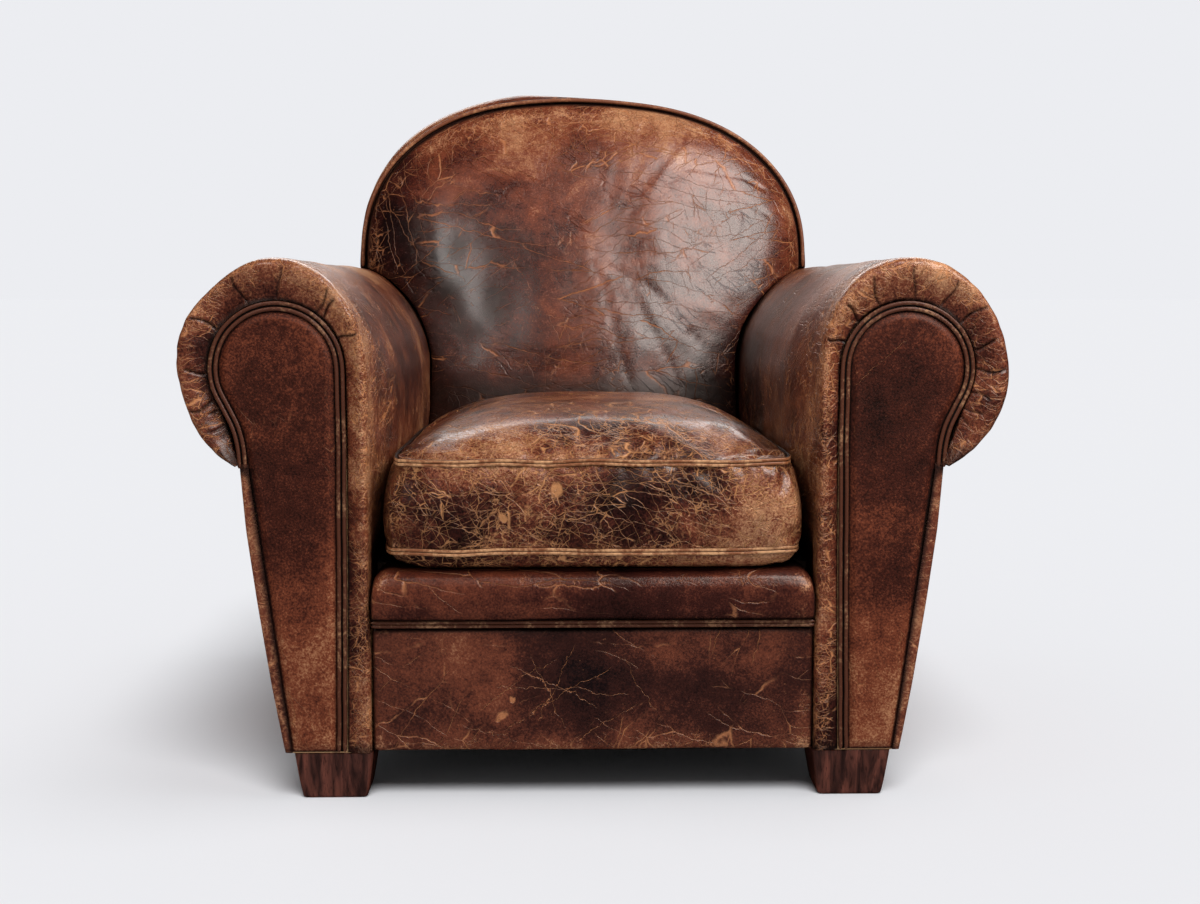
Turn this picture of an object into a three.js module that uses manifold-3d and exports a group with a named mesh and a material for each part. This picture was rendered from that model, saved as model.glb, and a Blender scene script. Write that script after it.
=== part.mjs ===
// A worn leather club chair, built the way the real one is: a beech frame, jute webbing and coil springs,
// hessian, stuffed pads, leather panels, corded welts, a loose seat cushion and four bolted block feet.
//
// Millimetres. +X is the sitter's left, +Y is the back of the chair, +Z is up, and the floor is z = 0.
// Left and right are as seen from the front. Every arm piece is drawn for the right (+X) side, and the left
// arm is its mirror image.
import * as THREE from "three";
import { mergeVertices } from "three/addons/utils/BufferGeometryUtils.js";
import Module from "manifold-3d";

const wasm = await Module();
wasm.setup();

// ---------------------------------------------------------------- driving dimensions
const GAP = 0.4; // air left between two pieces that touch
const DEG = Math.PI / 180;

const FOOT_HEIGHT = 52.5;
const FRAME_BASE = 53; // underside of the posts and of the leather
const RAIL_BASE = 60; // underside of the rails, above the webbing
const RAIL_TOP = 186.8;
const SEAT_HALF = 243.5; // half the width between the arms
const POST_INNER = 267; // inner face of the posts
const FRONT_FACE = -433.5; // face of the arm facings
const POST_FRONT = -428;
const POST_REAR = -387.7;
const DECK_TOP = 255.5;
const ARM_BACK_END = 388;
const SEAT_WALL_BASE = 190.4;
const WALL_END = 318; // the walls stop short of the rail between the back posts

const BACK_HINGE = { y: 352, z: FRAME_BASE }; // where the reclined rear plane meets the base
const RECLINE = 6 * DEG;
const SEAM_DEPTH = 96; // from the rear plane forward to the seam round the back pad

const ROLL = { x: 346.5, z: 478.5, halfWidth: 102, halfHeight: 117, power: 2.04 };
const SWELL = 20; // how far the stuffing pushes the inner side of an arm towards the seat
const BULB = { x: 341, z: 475, radius: 68 }; // the round head of the arm facing, at the welt
const NOTCH = { x: 379, z: 367 }; // where the roll ends over the outer arm
// The outline of the back, in its own plane.
const ARCH = { halfWidth: 337, spring: 547, rise: 252, power: 2.38 };

const SPRING_PITCH = { x: 145, y: 170 };
const SPRING_MIDDLE_Y = -50;
const WEB_LEVEL = 57.4;

// ---------------------------------------------------------------- finishes
const finish = (color, roughness, metalness = 0) =>
  new THREE.MeshStandardMaterial({ color, roughness, metalness });

const FINISH = {
  beech: finish(0xc49a6c, 0.75),
  feet: finish(0x3a1712, 0.4),
  steel: finish(0x8c8f94, 0.45, 0.9),
  jute: finish(0x9a7b4f, 0.95),
  hessian: finish(0xa88a5c, 0.95),
  deck: finish(0x3b2519, 0.85),
  body: finish(0x5a2f1b, 0.42),
  facing: finish(0x552714, 0.5),
  cushion: finish(0x6e4526, 0.5),
  welt: finish(0x8a5a35, 0.55),
  lining: finish(0x1c1a19, 0.95),
};

// ---------------------------------------------------------------- points and outlines
const P = (x, y) => new THREE.Vector2(x, y);
const range = (n) => [...Array(n).keys()];
const signedPower = (value, power) =>
  Math.sign(value) * Math.abs(value) ** power;

// A point on a superellipse, at an angle in degrees.
function superellipse({ x, z, halfWidth, halfHeight, power }, angle) {
  const e = 2 / power;
  return P(
    x + halfWidth * signedPower(Math.cos(angle * DEG), e),
    z + halfHeight * signedPower(Math.sin(angle * DEG), e),
  );
}

// Points of a circular arc between two angles in degrees.
function arc(x, z, radius, from, to, steps) {
  return range(steps + 1).map((i) => {
    const angle = (from + ((to - from) * i) / steps) * DEG;
    return P(x + radius * Math.cos(angle), z + radius * Math.sin(angle));
  });
}

// An open line moved sideways: positive distances lie to its left.
function offset(points, distance) {
  return points.map((p, i) => {
    const before = points[Math.max(i - 1, 0)];
    const after = points[Math.min(i + 1, points.length - 1)];
    const along = after.clone().sub(before).normalize();
    return P(p.x - along.y * distance, p.y + along.x * distance);
  });
}

// The line of the double welt round an arm facing: up the inner edge, over the head and down to the notch.
function facingWeltLine() {
  return [
    P(276, FRAME_BASE + 3),
    P(273.6, 240),
    P(272.4, 400),
    ...arc(BULB.x, BULB.z, BULB.radius, 180, -34, 22),
    P(385, 412),
    P(380.4, 393),
    P(NOTCH.x, NOTCH.z + 1),
  ];
}

// Half the width of the back at a height in its own plane.
function archHalfWidth(height, inset = 0) {
  const rise = ARCH.rise - inset;
  const up = Math.min(Math.max((height - ARCH.spring) / rise, 0), 1);
  const side =
    ARCH.halfWidth - 0.02 * Math.max(ARCH.spring - height, 0) - inset;
  return side * (1 - up ** ARCH.power) ** (1 / ARCH.power);
}

// The arched outline of the back from a foot height, over the top and down again.
function archLine(foot, inset = 0, steps = 26) {
  const rim = { ...ARCH, x: 0, z: ARCH.spring };
  rim.halfWidth -= inset;
  rim.halfHeight = ARCH.rise - inset;
  const over = range(steps + 1).map((i) =>
    superellipse(rim, (180 * i) / steps),
  );
  return foot < ARCH.spring
    ? [
        P(archHalfWidth(foot, inset), foot),
        ...over,
        P(-archHalfWidth(foot, inset), foot),
      ]
    : over;
}

// Smooth step from 0 at a to 1 at b.
function ramp(a, b, value) {
  const t = Math.min(Math.max((value - a) / (b - a), 0), 1);
  return t * t * (3 - 2 * t);
}

// ---------------------------------------------------------------- solids
// The prism of an outline in the XZ plane, from y0 back to y1, with its ends rounded over by round.
function alongY(outline, y0, y1, round = 0, roundSteps = 3, steps = 1) {
  const made = new THREE.ExtrudeGeometry(new THREE.Shape(outline), {
    steps,
    depth: y1 - y0 - 2 * round,
    bevelEnabled: round > 0,
    bevelThickness: round,
    bevelSize: round,
    bevelOffset: -round,
    bevelSegments: roundSteps,
  });
  return made.rotateX(Math.PI / 2).translate(0, y1 - round, 0);
}

// The prism of an outline in the YZ plane, from x0 to x1.
function alongX(outline, x0, x1, round = 0) {
  const made = new THREE.ExtrudeGeometry(new THREE.Shape(outline), {
    depth: x1 - x0 - 2 * round,
    bevelEnabled: round > 0,
    bevelThickness: round,
    bevelSize: round,
    bevelOffset: -round,
    bevelSegments: 3,
  });
  const turn = new THREE.Matrix4().makeBasis(
    new THREE.Vector3(0, 1, 0),
    new THREE.Vector3(0, 0, 1),
    new THREE.Vector3(1, 0, 0),
  );
  return made.applyMatrix4(turn).translate(x0 + round, 0, 0);
}

// The prism of an outline in the XY plane, from z0 up to z1.
function alongZ(outline, z0, z1) {
  const made = new THREE.ExtrudeGeometry(new THREE.Shape(outline), {
    depth: z1 - z0,
    bevelEnabled: false,
  });
  return made.translate(0, 0, z0);
}

const block = (x0, x1, y0, y1, z0, z1) =>
  new THREE.BoxGeometry(x1 - x0, y1 - y0, z1 - z0).translate(
    (x0 + x1) / 2,
    (y0 + y1) / 2,
    (z0 + z1) / 2,
  );

const rod = (radius, x, y, z0, z1, sides = 12) =>
  new THREE.CylinderGeometry(radius, radius, z1 - z0, sides)
    .rotateX(Math.PI / 2)
    .translate(x, y, (z0 + z1) / 2);

// A tube of a small section drawn along a 3-D curve.
function along(curve, section, steps) {
  return new THREE.ExtrudeGeometry(new THREE.Shape(section), {
    steps,
    extrudePath: curve,
    bevelEnabled: false,
  });
}

// Each vertex of a geometry moved by a function of its place.
function reshape(geometry, move) {
  const at = geometry.getAttribute("position");
  const point = new THREE.Vector3();
  for (let i = 0; i < at.count; i++) {
    point.fromBufferAttribute(at, i);
    at.setXYZ(i, ...move(point.x, point.y, point.z));
  }
  return geometry;
}

// A closed geometry as a manifold solid, for joins and cuts.
function solid(geometry) {
  const bare = geometry.clone();
  for (const name of Object.keys(bare.attributes)) {
    if (name !== "position") bare.deleteAttribute(name);
  }
  const merged = mergeVertices(bare, 1e-3);
  return new wasm.Manifold(
    new wasm.Mesh({
      numProp: 3,
      vertProperties: merged.getAttribute("position").array,
      triVerts: new Uint32Array(merged.index.array),
    }),
  );
}

function geometryOf(manifold) {
  const { vertProperties, triVerts } = manifold.getMesh();
  return new THREE.BufferGeometry()
    .setAttribute("position", new THREE.BufferAttribute(vertProperties, 3))
    .setIndex(new THREE.BufferAttribute(triVerts, 1));
}

const cut = (geometry, ...tools) =>
  geometryOf(
    tools.reduce((left, tool) => left.subtract(solid(tool)), solid(geometry)),
  );

const join = (first, ...others) =>
  geometryOf(
    others.reduce((sum, other) => sum.add(solid(other)), solid(first)),
  );

function piece(name, geometry, material) {
  const mesh = new THREE.Mesh(geometry, material);
  mesh.name = name;
  return mesh;
}

// ---------------------------------------------------------------- the reclined plane of the back
// World y of a plane that lies a distance behind (positive) or before (negative) the rear plane.
const reclinedY = (z, behind) =>
  BACK_HINGE.y + (z - BACK_HINGE.z) * Math.tan(RECLINE) + behind;

// A geometry drawn in the back's own frame, put in its place in the chair.
const reclined = (geometry) =>
  geometry.rotateX(-RECLINE).translate(0, BACK_HINGE.y, BACK_HINGE.z);

// Everything behind a plane of the back, as a cutting tool.
const behindPlane = (distance) =>
  reclined(block(-600, 600, distance, distance + 400, -200, 1000));

// ---------------------------------------------------------------- feet and their bolts
const FOOT = { x: 286, halfTop: 43.5, halfBase: 35, frontY: -385, rearY: 306 };
const BOLT = { radius: 4, bottom: 18, top: 96, x: 284 };
const BOLT_Y = { front: -405, rear: 322 };

function makeFoot() {
  const top = FOOT.halfTop;
  const base = FOOT.halfBase;
  const made = new THREE.CylinderGeometry(1, 1, 1, 4, 3).rotateX(Math.PI / 2);
  return reshape(made.rotateZ(Math.PI / 4), (x, y, z) => {
    const up = z + 0.5;
    const half = base + (top - base) * up ** 0.8;
    const centre = Math.hypot(x, y) < 0.5;
    const flat = centre ? 0 : half;
    return [Math.sign(x) * flat, Math.sign(y) * flat, FOOT_HEIGHT * up];
  });
}

function footPieces(side, end) {
  const name = `${end}_${side > 0 ? "right" : "left"}`;
  const x = side * FOOT.x;
  const boltX = side * BOLT.x;
  const y = end === "front" ? FOOT.frontY : FOOT.rearY;
  const boltY = BOLT_Y[end];
  const hole = rod(BOLT.radius + GAP, boltX, boltY, BOLT.bottom - 2, 60);
  const foot = cut(makeFoot().translate(x, y, 0), hole);
  const bolt = rod(BOLT.radius, boltX, boltY, BOLT.bottom, BOLT.top);
  return [
    piece(`foot_${name}`, foot, FINISH.feet),
    piece(`foot_bolt_${name}`, bolt, FINISH.steel),
  ];
}

const boltHole = (side, end) =>
  rod(
    BOLT.radius + GAP,
    side * BOLT.x,
    BOLT_Y[end],
    FRAME_BASE - 5,
    BOLT.top + 2,
  );

// ---------------------------------------------------------------- seat frame
const RAIL = { front: [-410, -385], rear: [305, 333], side: [267.2, 295.2] };

function seatFrame() {
  const made = new THREE.Group();
  const across = POST_INNER - GAP;
  const [sideIn, sideOut] = RAIL.side;
  made.add(
    piece(
      "front_seat_rail",
      block(-across, across, ...RAIL.front, RAIL_BASE, RAIL_TOP),
      FINISH.beech,
    ),
    piece(
      "rear_seat_rail",
      block(-across + 1, across - 1, ...RAIL.rear, RAIL_BASE, RAIL_TOP),
      FINISH.beech,
    ),
  );
  for (const side of [1, -1]) {
    const hand = side > 0 ? "right" : "left";
    const outline = [
      P(POST_REAR + GAP, RAIL_BASE),
      P(reclinedY(RAIL_BASE, -52.8), RAIL_BASE),
      P(reclinedY(RAIL_TOP, -52.8), RAIL_TOP),
      P(POST_REAR + GAP, RAIL_TOP),
    ];
    const ends = side > 0 ? [sideIn, sideOut] : [-sideOut, -sideIn];
    made.add(
      piece(`side_seat_rail_${hand}`, alongX(outline, ...ends), FINISH.beech),
    );
    for (const end of ["front", "rear"]) {
      const inner = side * (POST_INNER - 1);
      const wall =
        end === "front" ? RAIL.front[1] + GAP : RAIL.rear[0] - GAP;
      const leg = end === "front" ? 66 : -66;
      const corner = [
        P(inner, wall),
        P(inner, wall + leg),
        P(inner - side * 66, wall),
      ];
      made.add(
        piece(
          `corner_block_${end}_${hand}`,
          alongZ(corner, RAIL_BASE + 2, RAIL_BASE + 47),
          FINISH.beech,
        ),
      );
    }
  }
  return made;
}

// ---------------------------------------------------------------- webbing, springs and hessian
const WEB = { halfWidth: 29, thickness: 1.7, weave: 1.6 };

// One strap: its edge view is a band that goes over and under the straps it crosses.
function strapOutline(from, to, crossings, firstIsOver) {
  const ends = WEB_LEVEL + 0.9;
  const middle = [P(from, ends)];
  crossings.forEach((at, i) => {
    const over = (i % 2 === 0) === firstIsOver;
    const level = WEB_LEVEL + (over ? WEB.weave : -WEB.weave);
    middle.push(P(at - WEB.halfWidth - 3, level));
    middle.push(P(at + WEB.halfWidth + 3, level));
  });
  middle.push(P(to, ends));
  const half = WEB.thickness / 2;
  return [
    ...middle.map((p) => P(p.x, p.y - half)),
    ...middle.map((p) => P(p.x, p.y + half)).reverse(),
  ];
}

const grid = (pitch, middle = 0) => [-1, 0, 1].map((i) => middle + i * pitch);

function webbing() {
  const made = new THREE.Group();
  const columns = grid(SPRING_PITCH.x);
  const rows = grid(SPRING_PITCH.y, SPRING_MIDDLE_Y);
  columns.forEach((x, i) => {
    const outline = strapOutline(-404, 328, rows, i % 2 === 0);
    made.add(
      piece(
        `web_strap_long_${i + 1}`,
        alongX(outline, x - WEB.halfWidth, x + WEB.halfWidth),
        FINISH.jute,
      ),
    );
  });
  rows.forEach((y, i) => {
    const outline = strapOutline(-292, 292, columns, i % 2 === 1);
    made.add(
      piece(
        `web_strap_cross_${i + 1}`,
        alongY(outline, y - WEB.halfWidth, y + WEB.halfWidth),
        FINISH.jute,
      ),
    );
  });
  return made;
}

// The centre line of a waisted upholstery spring.
class SpringLine extends THREE.Curve {
  constructor(turns, endRadius, waistRadius, bottom, top) {
    super();
    Object.assign(this, { turns, endRadius, waistRadius, bottom, top });
  }
  getPoint(t, target = new THREE.Vector3()) {
    const angle = 2 * Math.PI * this.turns * t;
    const fromWaist = Math.abs(2 * t - 1);
    const radius =
      this.waistRadius + (this.endRadius - this.waistRadius) * fromWaist;
    return target.set(
      radius * Math.cos(angle),
      radius * Math.sin(angle),
      this.bottom + (this.top - this.bottom) * t,
    );
  }
}

function springs() {
  const made = new THREE.Group();
  const wire = arc(0, 0, 1.9, 0, 288, 4);
  const bottom = WEB_LEVEL + WEB.weave + WEB.thickness / 2 + 2.4;
  grid(SPRING_PITCH.y, SPRING_MIDDLE_Y).forEach((y, row) => {
    grid(SPRING_PITCH.x).forEach((x, column) => {
      const coil = along(new SpringLine(4.5, 36, 22, bottom, 205.5), wire, 27);
      made.add(
        piece(
          `seat_spring_${row + 1}${column + 1}`,
          coil.translate(x, y, 0),
          FINISH.steel,
        ),
      );
    });
  });
  return made;
}

// Hessian laid over the springs: flat on the rails, raised over the coils.
function springCover() {
  const level = RAIL_TOP + GAP;
  const thickness = 1.5;
  const tent = (drop) =>
    reshape(new THREE.BoxGeometry(2, 2, 2), (u, v, w) => {
      const top = w > 0;
      const x = u * (top ? 190 : 241);
      const y = v * (top ? 271 : 318) - (top ? 41 : 38);
      return [x, y, level - drop + (top ? 25 : 0)];
    });
  const flat = block(-290, 290, -408, 328, level, level + thickness);
  const posts = [1, -1].flatMap((side) => [
    block(side > 0 ? 264 : -400, side > 0 ? 400 : -264, -440, -385, 150, 230),
    block(side > 0 ? 264 : -400, side > 0 ? 400 : -264, 298, 400, 150, 230),
  ]);
  const cover = cut(join(flat, tent(0)), tent(thickness), ...posts);
  return piece("spring_cover", cover, FINISH.hessian);
}

// ---------------------------------------------------------------- seat front and deck
function seatFront() {
  const made = new THREE.Group();
  const half = SEAT_HALF - 1;
  const apron = [
    P(-410.4, FRAME_BASE + 1),
    P(-424, FRAME_BASE + 1),
    P(-427.5, 62),
    P(-428.5, 120),
    P(-427, 186),
    P(-425, 191.2),
    P(-410.4, 191.2),
  ];
  const welt = [
    P(-424, 191.8),
    P(-432, 191.8),
    P(-434.5, 193.8),
    P(-433, 195.8),
    P(-434.5, 197.8),
    P(-432, 199.8),
    P(-424, 199.8),
  ];
  const lip = [
    P(-423.4, 191.8),
    P(-423.4, 200.4),
    P(-435, 201),
    P(-440, 208),
    P(-441.5, 226),
    P(-438, 243),
    P(-427, 253),
    P(-410, DECK_TOP),
    P(-362, DECK_TOP),
    P(-362, 189.4),
    P(-410, 189.4),
    P(-410, 191.8),
  ];
  made.add(
    piece("front_apron", alongX(apron, -half, half), FINISH.body),
    piece("front_welt", alongX(welt, -half, half), FINISH.welt),
    piece("front_lip", alongX(lip, -half, half), FINISH.body),
    piece(
      "seat_deck",
      block(-half, half, -361.6, 236, 213, DECK_TOP),
      FINISH.deck,
    ),
  );
  return made;
}

// ---------------------------------------------------------------- one arm, drawn for the +X side
const rollLine = (from, to, steps, roll = ROLL) =>
  range(steps).map((i) =>
    superellipse(roll, from + ((to - from) * i) / steps),
  );

// How far the inner side of an arm stands in towards the seat, by height.
const swell = (z) => SWELL * ramp(256, 400, z) * ramp(592, 450, z);

// The swell given to a geometry whose inner side is at x = 250 or less, growing back from the front.
const swollen = (geometry, still) =>
  reshape(geometry, (x, y, z) => [
    x - swell(z) * ramp(still, 250, x) * ramp(-440, -290, y),
    y,
    z,
  ]);

// The solid outline that the roll takes up, used to keep the back clear of it.
const AROUND_ROLL = {
  ...ROLL,
  halfWidth: ROLL.halfWidth + 1.2,
  halfHeight: ROLL.halfHeight + 1.2,
};
const rollEnvelope = () =>
  [
    ...rollLine(-90, 180, 45, AROUND_ROLL),
    ...[440, 400, 370, 340, 310, 280, 250, 150].map((z) => P(SEAT_HALF - 1, z)),
    P(349, 150),
  ].map((p) => P(p.x - swell(p.y) * ramp(330, 250, p.x), p.y));

const OUTER_TOP = NOTCH.z - 4.5;
const OUTER_LINE = [
  [382.5, OUTER_TOP],
  [377, 300],
  [366.2, 219.5],
  [352.6, 130],
  [341.8, 70],
  [338.6, FRAME_BASE + 1],
];
const POST_OUTER = { top: P(372.4, 365), base: P(332, FRAME_BASE) };
const BACK_POST = { x: [266.5, 301.8], depth: [-52.4, -8], top: 650 };
const ARM_RAIL = { x: [302.2, 386], y: [-387.2, 372], z: [430, 452] };
const STAY_RAIL = { outer: 285, z: [200, 236] };
const SKIN = 6.6; // leather and hessian between a rear edge of the frame and the outer back

// A line in the XZ plane as a 3-D curve at a depth y.
function curveAt(line, y) {
  const points = line.map((p) => new THREE.Vector3(p.x, y, p.y));
  return new THREE.CatmullRomCurve3(points, false, "centripetal");
}

// The front post's board, a little larger than the facing so that the welt lies on it too.
function frontPost() {
  const board = [
    P(POST_INNER, FRAME_BASE),
    P(POST_INNER, 400),
    ...arc(BULB.x, BULB.z, BULB.radius + 4.5, 170, -34, 20),
    P(386, 406),
    POST_OUTER.top,
    POST_OUTER.base,
  ];
  return cut(alongY(board, POST_FRONT, POST_REAR), boltHole(1, "front"));
}

function backPost() {
  const [front, rear] = BACK_POST.depth;
  const board = block(...BACK_POST.x, front, rear, 0, BACK_POST.top);
  return cut(reclined(board), boltHole(1, "rear"));
}

// The low rail between the posts that the arm's webbing and leather are tacked to.
function armStayRail() {
  const [low, high] = STAY_RAIL.z;
  const front = POST_REAR + GAP;
  const rear = (z) => reclinedY(z, BACK_POST.depth[0] - 0.6);
  const board = [P(front, low), P(rear(low), low), P(rear(high), high), P(front, high)];
  return alongX(board, POST_INNER + GAP, STAY_RAIL.outer);
}

const armTopRail = () =>
  cut(block(...ARM_RAIL.x, ...ARM_RAIL.y, ...ARM_RAIL.z), behindPlane(-SKIN - GAP));

// The stuffed and leather-covered arm: the roll, the wall down the seat side, and the narrow band that runs
// on down the front beside the facing. Its frame stands in rooms cut out of it.
function armPad() {
  const roll = alongY(rollLine(0, 360, 30), -441, ARM_BACK_END, 12, 3, 6);
  const wallOutline = [
    P(266, SEAT_WALL_BASE),
    P(266, 482),
    P(245.2, 482),
    ...[445, 400, 370, 340, 310, 280, 256, SEAT_WALL_BASE].map((z) =>
      P(SEAT_HALF, z),
    ),
  ];
  const wall = swollen(alongY(wallOutline, -440, WALL_END, 5, 2, 5), 266);
  const bandRear = RAIL.front[0] - GAP;
  const bandSide = [
    P(bandRear, FRAME_BASE + 1),
    P(-430, FRAME_BASE + 1),
    P(-433.5, 70),
    P(-434.5, 215),
    P(bandRear, 215),
  ];
  const band = alongX(bandSide, SEAT_HALF, POST_INNER - 1);

  const frontPostRoom = alongY(
    [
      P(POST_INNER - GAP, 30),
      ...offset(facingWeltLine().slice(1), 6.2),
      P(NOTCH.x + 4.6, 300),
      P(360, 30),
    ],
    -480,
    POST_REAR + GAP,
  );
  const [railIn, railOut] = ARM_RAIL.x;
  const [, railRear] = ARM_RAIL.y;
  const [railLow, railHigh] = ARM_RAIL.z;
  const topRailRoom = block(
    railIn - GAP,
    railOut + GAP,
    POST_REAR - 6,
    railRear + GAP,
    railLow - GAP,
    railHigh + GAP,
  );
  const [postIn, postOut] = BACK_POST.x;
  const [postFront, postRear] = BACK_POST.depth;
  const backPostRoom = reclined(
    block(postIn - GAP, postOut + GAP, postFront - 0.6, postRear + GAP, 0, 700),
  );
  return cut(
    join(swollen(roll, 330), wall, band),
    frontPostRoom,
    topRailRoom,
    backPostRoom,
    behindPlane(-SKIN),
  );
}

// The outer panel, which slopes in towards the floor, and its return behind the back post.
function outerArm() {
  const face = OUTER_LINE.map(([x, z]) => P(x, z));
  const panel = alongY(
    [P(373.6, OUTER_TOP), ...face, P(332.8, FRAME_BASE + 1)],
    -429,
    400,
  );
  const rearReturn = reclined(block(336, 372, -20, -SKIN - 0.2, 8, 308));
  const outside = alongY([...face, P(500, 40), P(500, NOTCH.z)], -500, 500);
  return cut(join(panel, rearReturn), behindPlane(-SKIN), outside);
}

function armFacing() {
  const outline = [
    ...offset(facingWeltLine(), -5.8),
    P(372.6, 363),
    P(333, FRAME_BASE + 3),
  ];
  return alongY(outline, FRONT_FACE, POST_FRONT - GAP, 1.5, 1);
}

// Two cords side by side, 9.6 wide and 5 deep, run round the facing.
function armWelt() {
  const radius = 2.5;
  const section = [
    ...arc(0, 2.3, radius, -50, 230, 4),
    ...arc(0, -2.3, radius, 130, 410, 4),
  ];
  const depth = POST_FRONT - GAP - radius - 0.3;
  return along(curveAt(facingWeltLine(), depth), section, 36);
}

function arm(side) {
  const hand = side > 0 ? "right" : "left";
  const made = new THREE.Group();
  made.scale.x = side;
  made.add(
    piece(`arm_pad_${hand}`, armPad(), FINISH.body),
    piece(`arm_front_post_${hand}`, frontPost(), FINISH.beech),
    piece(`back_post_${hand}`, backPost(), FINISH.beech),
    piece(`arm_top_rail_${hand}`, armTopRail(), FINISH.beech),
    piece(`arm_stay_rail_${hand}`, armStayRail(), FINISH.beech),
    piece(`outer_arm_${hand}`, outerArm(), FINISH.body),
    piece(`arm_facing_${hand}`, armFacing(), FINISH.facing),
    piece(`arm_welt_${hand}`, armWelt(), FINISH.welt),
  );
  return made;
}

// ---------------------------------------------------------------- the back, drawn in its own reclined frame
const PAD = {
  centre: 330, // height of the pad's fullest point, in the back's frame
  foot: 120,
  inset: 10.6,
  crown: 172,
  rearDepth: 54.5,
};

// How far a ray from the pad's fullest point runs before it meets the arch or the pad's foot.
function reachToArch(x, z) {
  let [inside, outside] = [0, 1200];
  for (let i = 0; i < 30; i++) {
    const reach = (inside + outside) / 2;
    const height = PAD.centre + z * reach;
    const within =
      height > PAD.foot && Math.abs(x) * reach < archHalfWidth(height, PAD.inset);
    if (within) inside = reach;
    else outside = reach;
  }
  return inside;
}

// The back pad from a sphere: the arch from the front, a crown that leans out low down, and a flat back.
function backPad() {
  const ball = new THREE.SphereGeometry(1, 36, 18);
  const shaped = reshape(ball, (x, y, z) => {
    const rim = Math.max(Math.hypot(x, z), 1e-9);
    const reach = rim * reachToArch(x / rim, z / rim);
    const across = (reach * x) / rim;
    const height = PAD.centre + (reach * z) / rim;
    const fullness = 1 - 0.45 * ramp(PAD.centre - 120, 800, height);
    const depth =
      y < 0
        ? SEAM_DEPTH + PAD.crown * fullness * Math.abs(y) ** 0.9
        : SEAM_DEPTH - (SEAM_DEPTH - PAD.rearDepth) * Math.min(3 * y, 1);
    return [across, -depth, height];
  });
  const underside = block(-600, 600, -600, 600, -100, DECK_TOP + 4);
  return piece(
    "back_pad",
    cut(reclined(shaped), ...armsBackTo(ARM_BACK_END + 8), underside),
    FINISH.body,
  );
}

const SHELL = {
  foot: 552, // where the border band ends, behind the arm rolls
  band: 9, // thickness of the band's leather and padding
  railFoot: 651, // top of the back posts
  railWidth: 64,
  cord: 4.6,
};

// The room that both arms take up, as cutting tools that reach back to y.
const armsBackTo = (y) =>
  [1, -1].map((side) =>
    alongY(
      rollEnvelope().map((p) => P(side * p.x, p.y)),
      -450,
      y,
    ),
  );

// The strip of leather that joins the pad's seam to the outer back.
function backBorder() {
  const { foot, band } = SHELL;
  const ring = [...archLine(foot), ...archLine(foot, band).reverse()];
  return cut(
    reclined(alongY(ring, -SEAM_DEPTH + 1, -SKIN - 0.2)),
    ...armsBackTo(ARM_BACK_END + 40),
  );
}

// The arched board that joins the tops of the two back posts.
function backTopRail() {
  const above = (p) => p.y >= SHELL.railFoot;
  const outer = archLine(SHELL.railFoot, SHELL.band + 1).filter(above);
  const inner = archLine(SHELL.railFoot, SHELL.band + 1 + SHELL.railWidth);
  const outline = [...outer, ...inner.filter(above).reverse()];
  return reclined(alongY(outline, -50, -22));
}

function backWelt() {
  const line = archLine(SHELL.foot, SHELL.cord + 0.6, 40).map(
    (p) => new THREE.Vector3(p.x, -SEAM_DEPTH - 4, p.y),
  );
  const curve = new THREE.CatmullRomCurve3(line, false, "centripetal");
  return reclined(along(curve, arc(0, 0, SHELL.cord, 0, 300, 5), 40));
}

function backShell() {
  const made = new THREE.Group();
  const across = BACK_POST.x[0] - 0.9;
  const outerBack = reclined(alongY(archLine(3), -SKIN + 0.2, 0, 2, 1));
  const stayRail = reclined(block(-across, across, -50, -25, 225, 262));
  made.add(
    piece("back_border", backBorder(), FINISH.body),
    piece("outer_back", outerBack, FINISH.body),
    piece("back_top_rail", backTopRail(), FINISH.beech),
    piece("back_stay_rail", stayRail, FINISH.beech),
    piece("back_welt", backWelt(), FINISH.welt),
  );
  return made;
}

// ---------------------------------------------------------------- the loose seat cushion
const CUSHION = {
  front: -441,
  rear: 112,
  halfTop: 221,
  halfBase: 231,
  bottom: 256.2,
  lowSeam: 276,
  topSeam: 374,
  crown: 60,
};

// The cushion from a box: a domed top, upright sides that belly out a little, and a base that rounds under.
function seatCushion() {
  const { front, rear, halfTop, halfBase, lowSeam, topSeam, crown } = CUSHION;
  const box = new THREE.BoxGeometry(2, 2, 2, 10, 10, 3);
  const shaped = reshape(box, (u, v, w) => {
    const up = (w + 1) / 2;
    const onTop = w > 0.99;
    const onBase = w < -0.99;
    const half = halfBase + (halfTop - halfBase) * up;
    const dome = (1 - Math.abs(u) ** 2.4) * (1 - Math.abs(v) ** 2.8);
    const belly = 2.5 * (1 - w * w);
    const x = u * (half + belly) - (onBase ? 12 * u ** 9 : 0);
    const middle = (front + rear) / 2;
    const deep = (rear - front) / 2;
    const y = middle + v * (deep + belly - 3) - (onBase ? 12 * v ** 9 : 0);
    let z = lowSeam + (topSeam - lowSeam) * up;
    if (onTop) z = topSeam + crown * dome ** 0.75;
    if (onBase) z = lowSeam - (lowSeam - CUSHION.bottom) * Math.min(1, 3 * dome);
    return [x, y, z];
  });
  return piece("seat_cushion", shaped, FINISH.cushion);
}

function dustCover() {
  const plan = [
    P(-244, -408),
    P(244, -408),
    P(244, -338),
    P(300, -338),
    P(300, 262),
    P(244, 262),
    P(244, 330),
    P(-244, 330),
    P(-244, 262),
    P(-300, 262),
    P(-300, -338),
    P(-244, -338),
  ];
  return piece("dust_cover", alongZ(plan, 53.2, 54.4), FINISH.lining);
}

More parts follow.
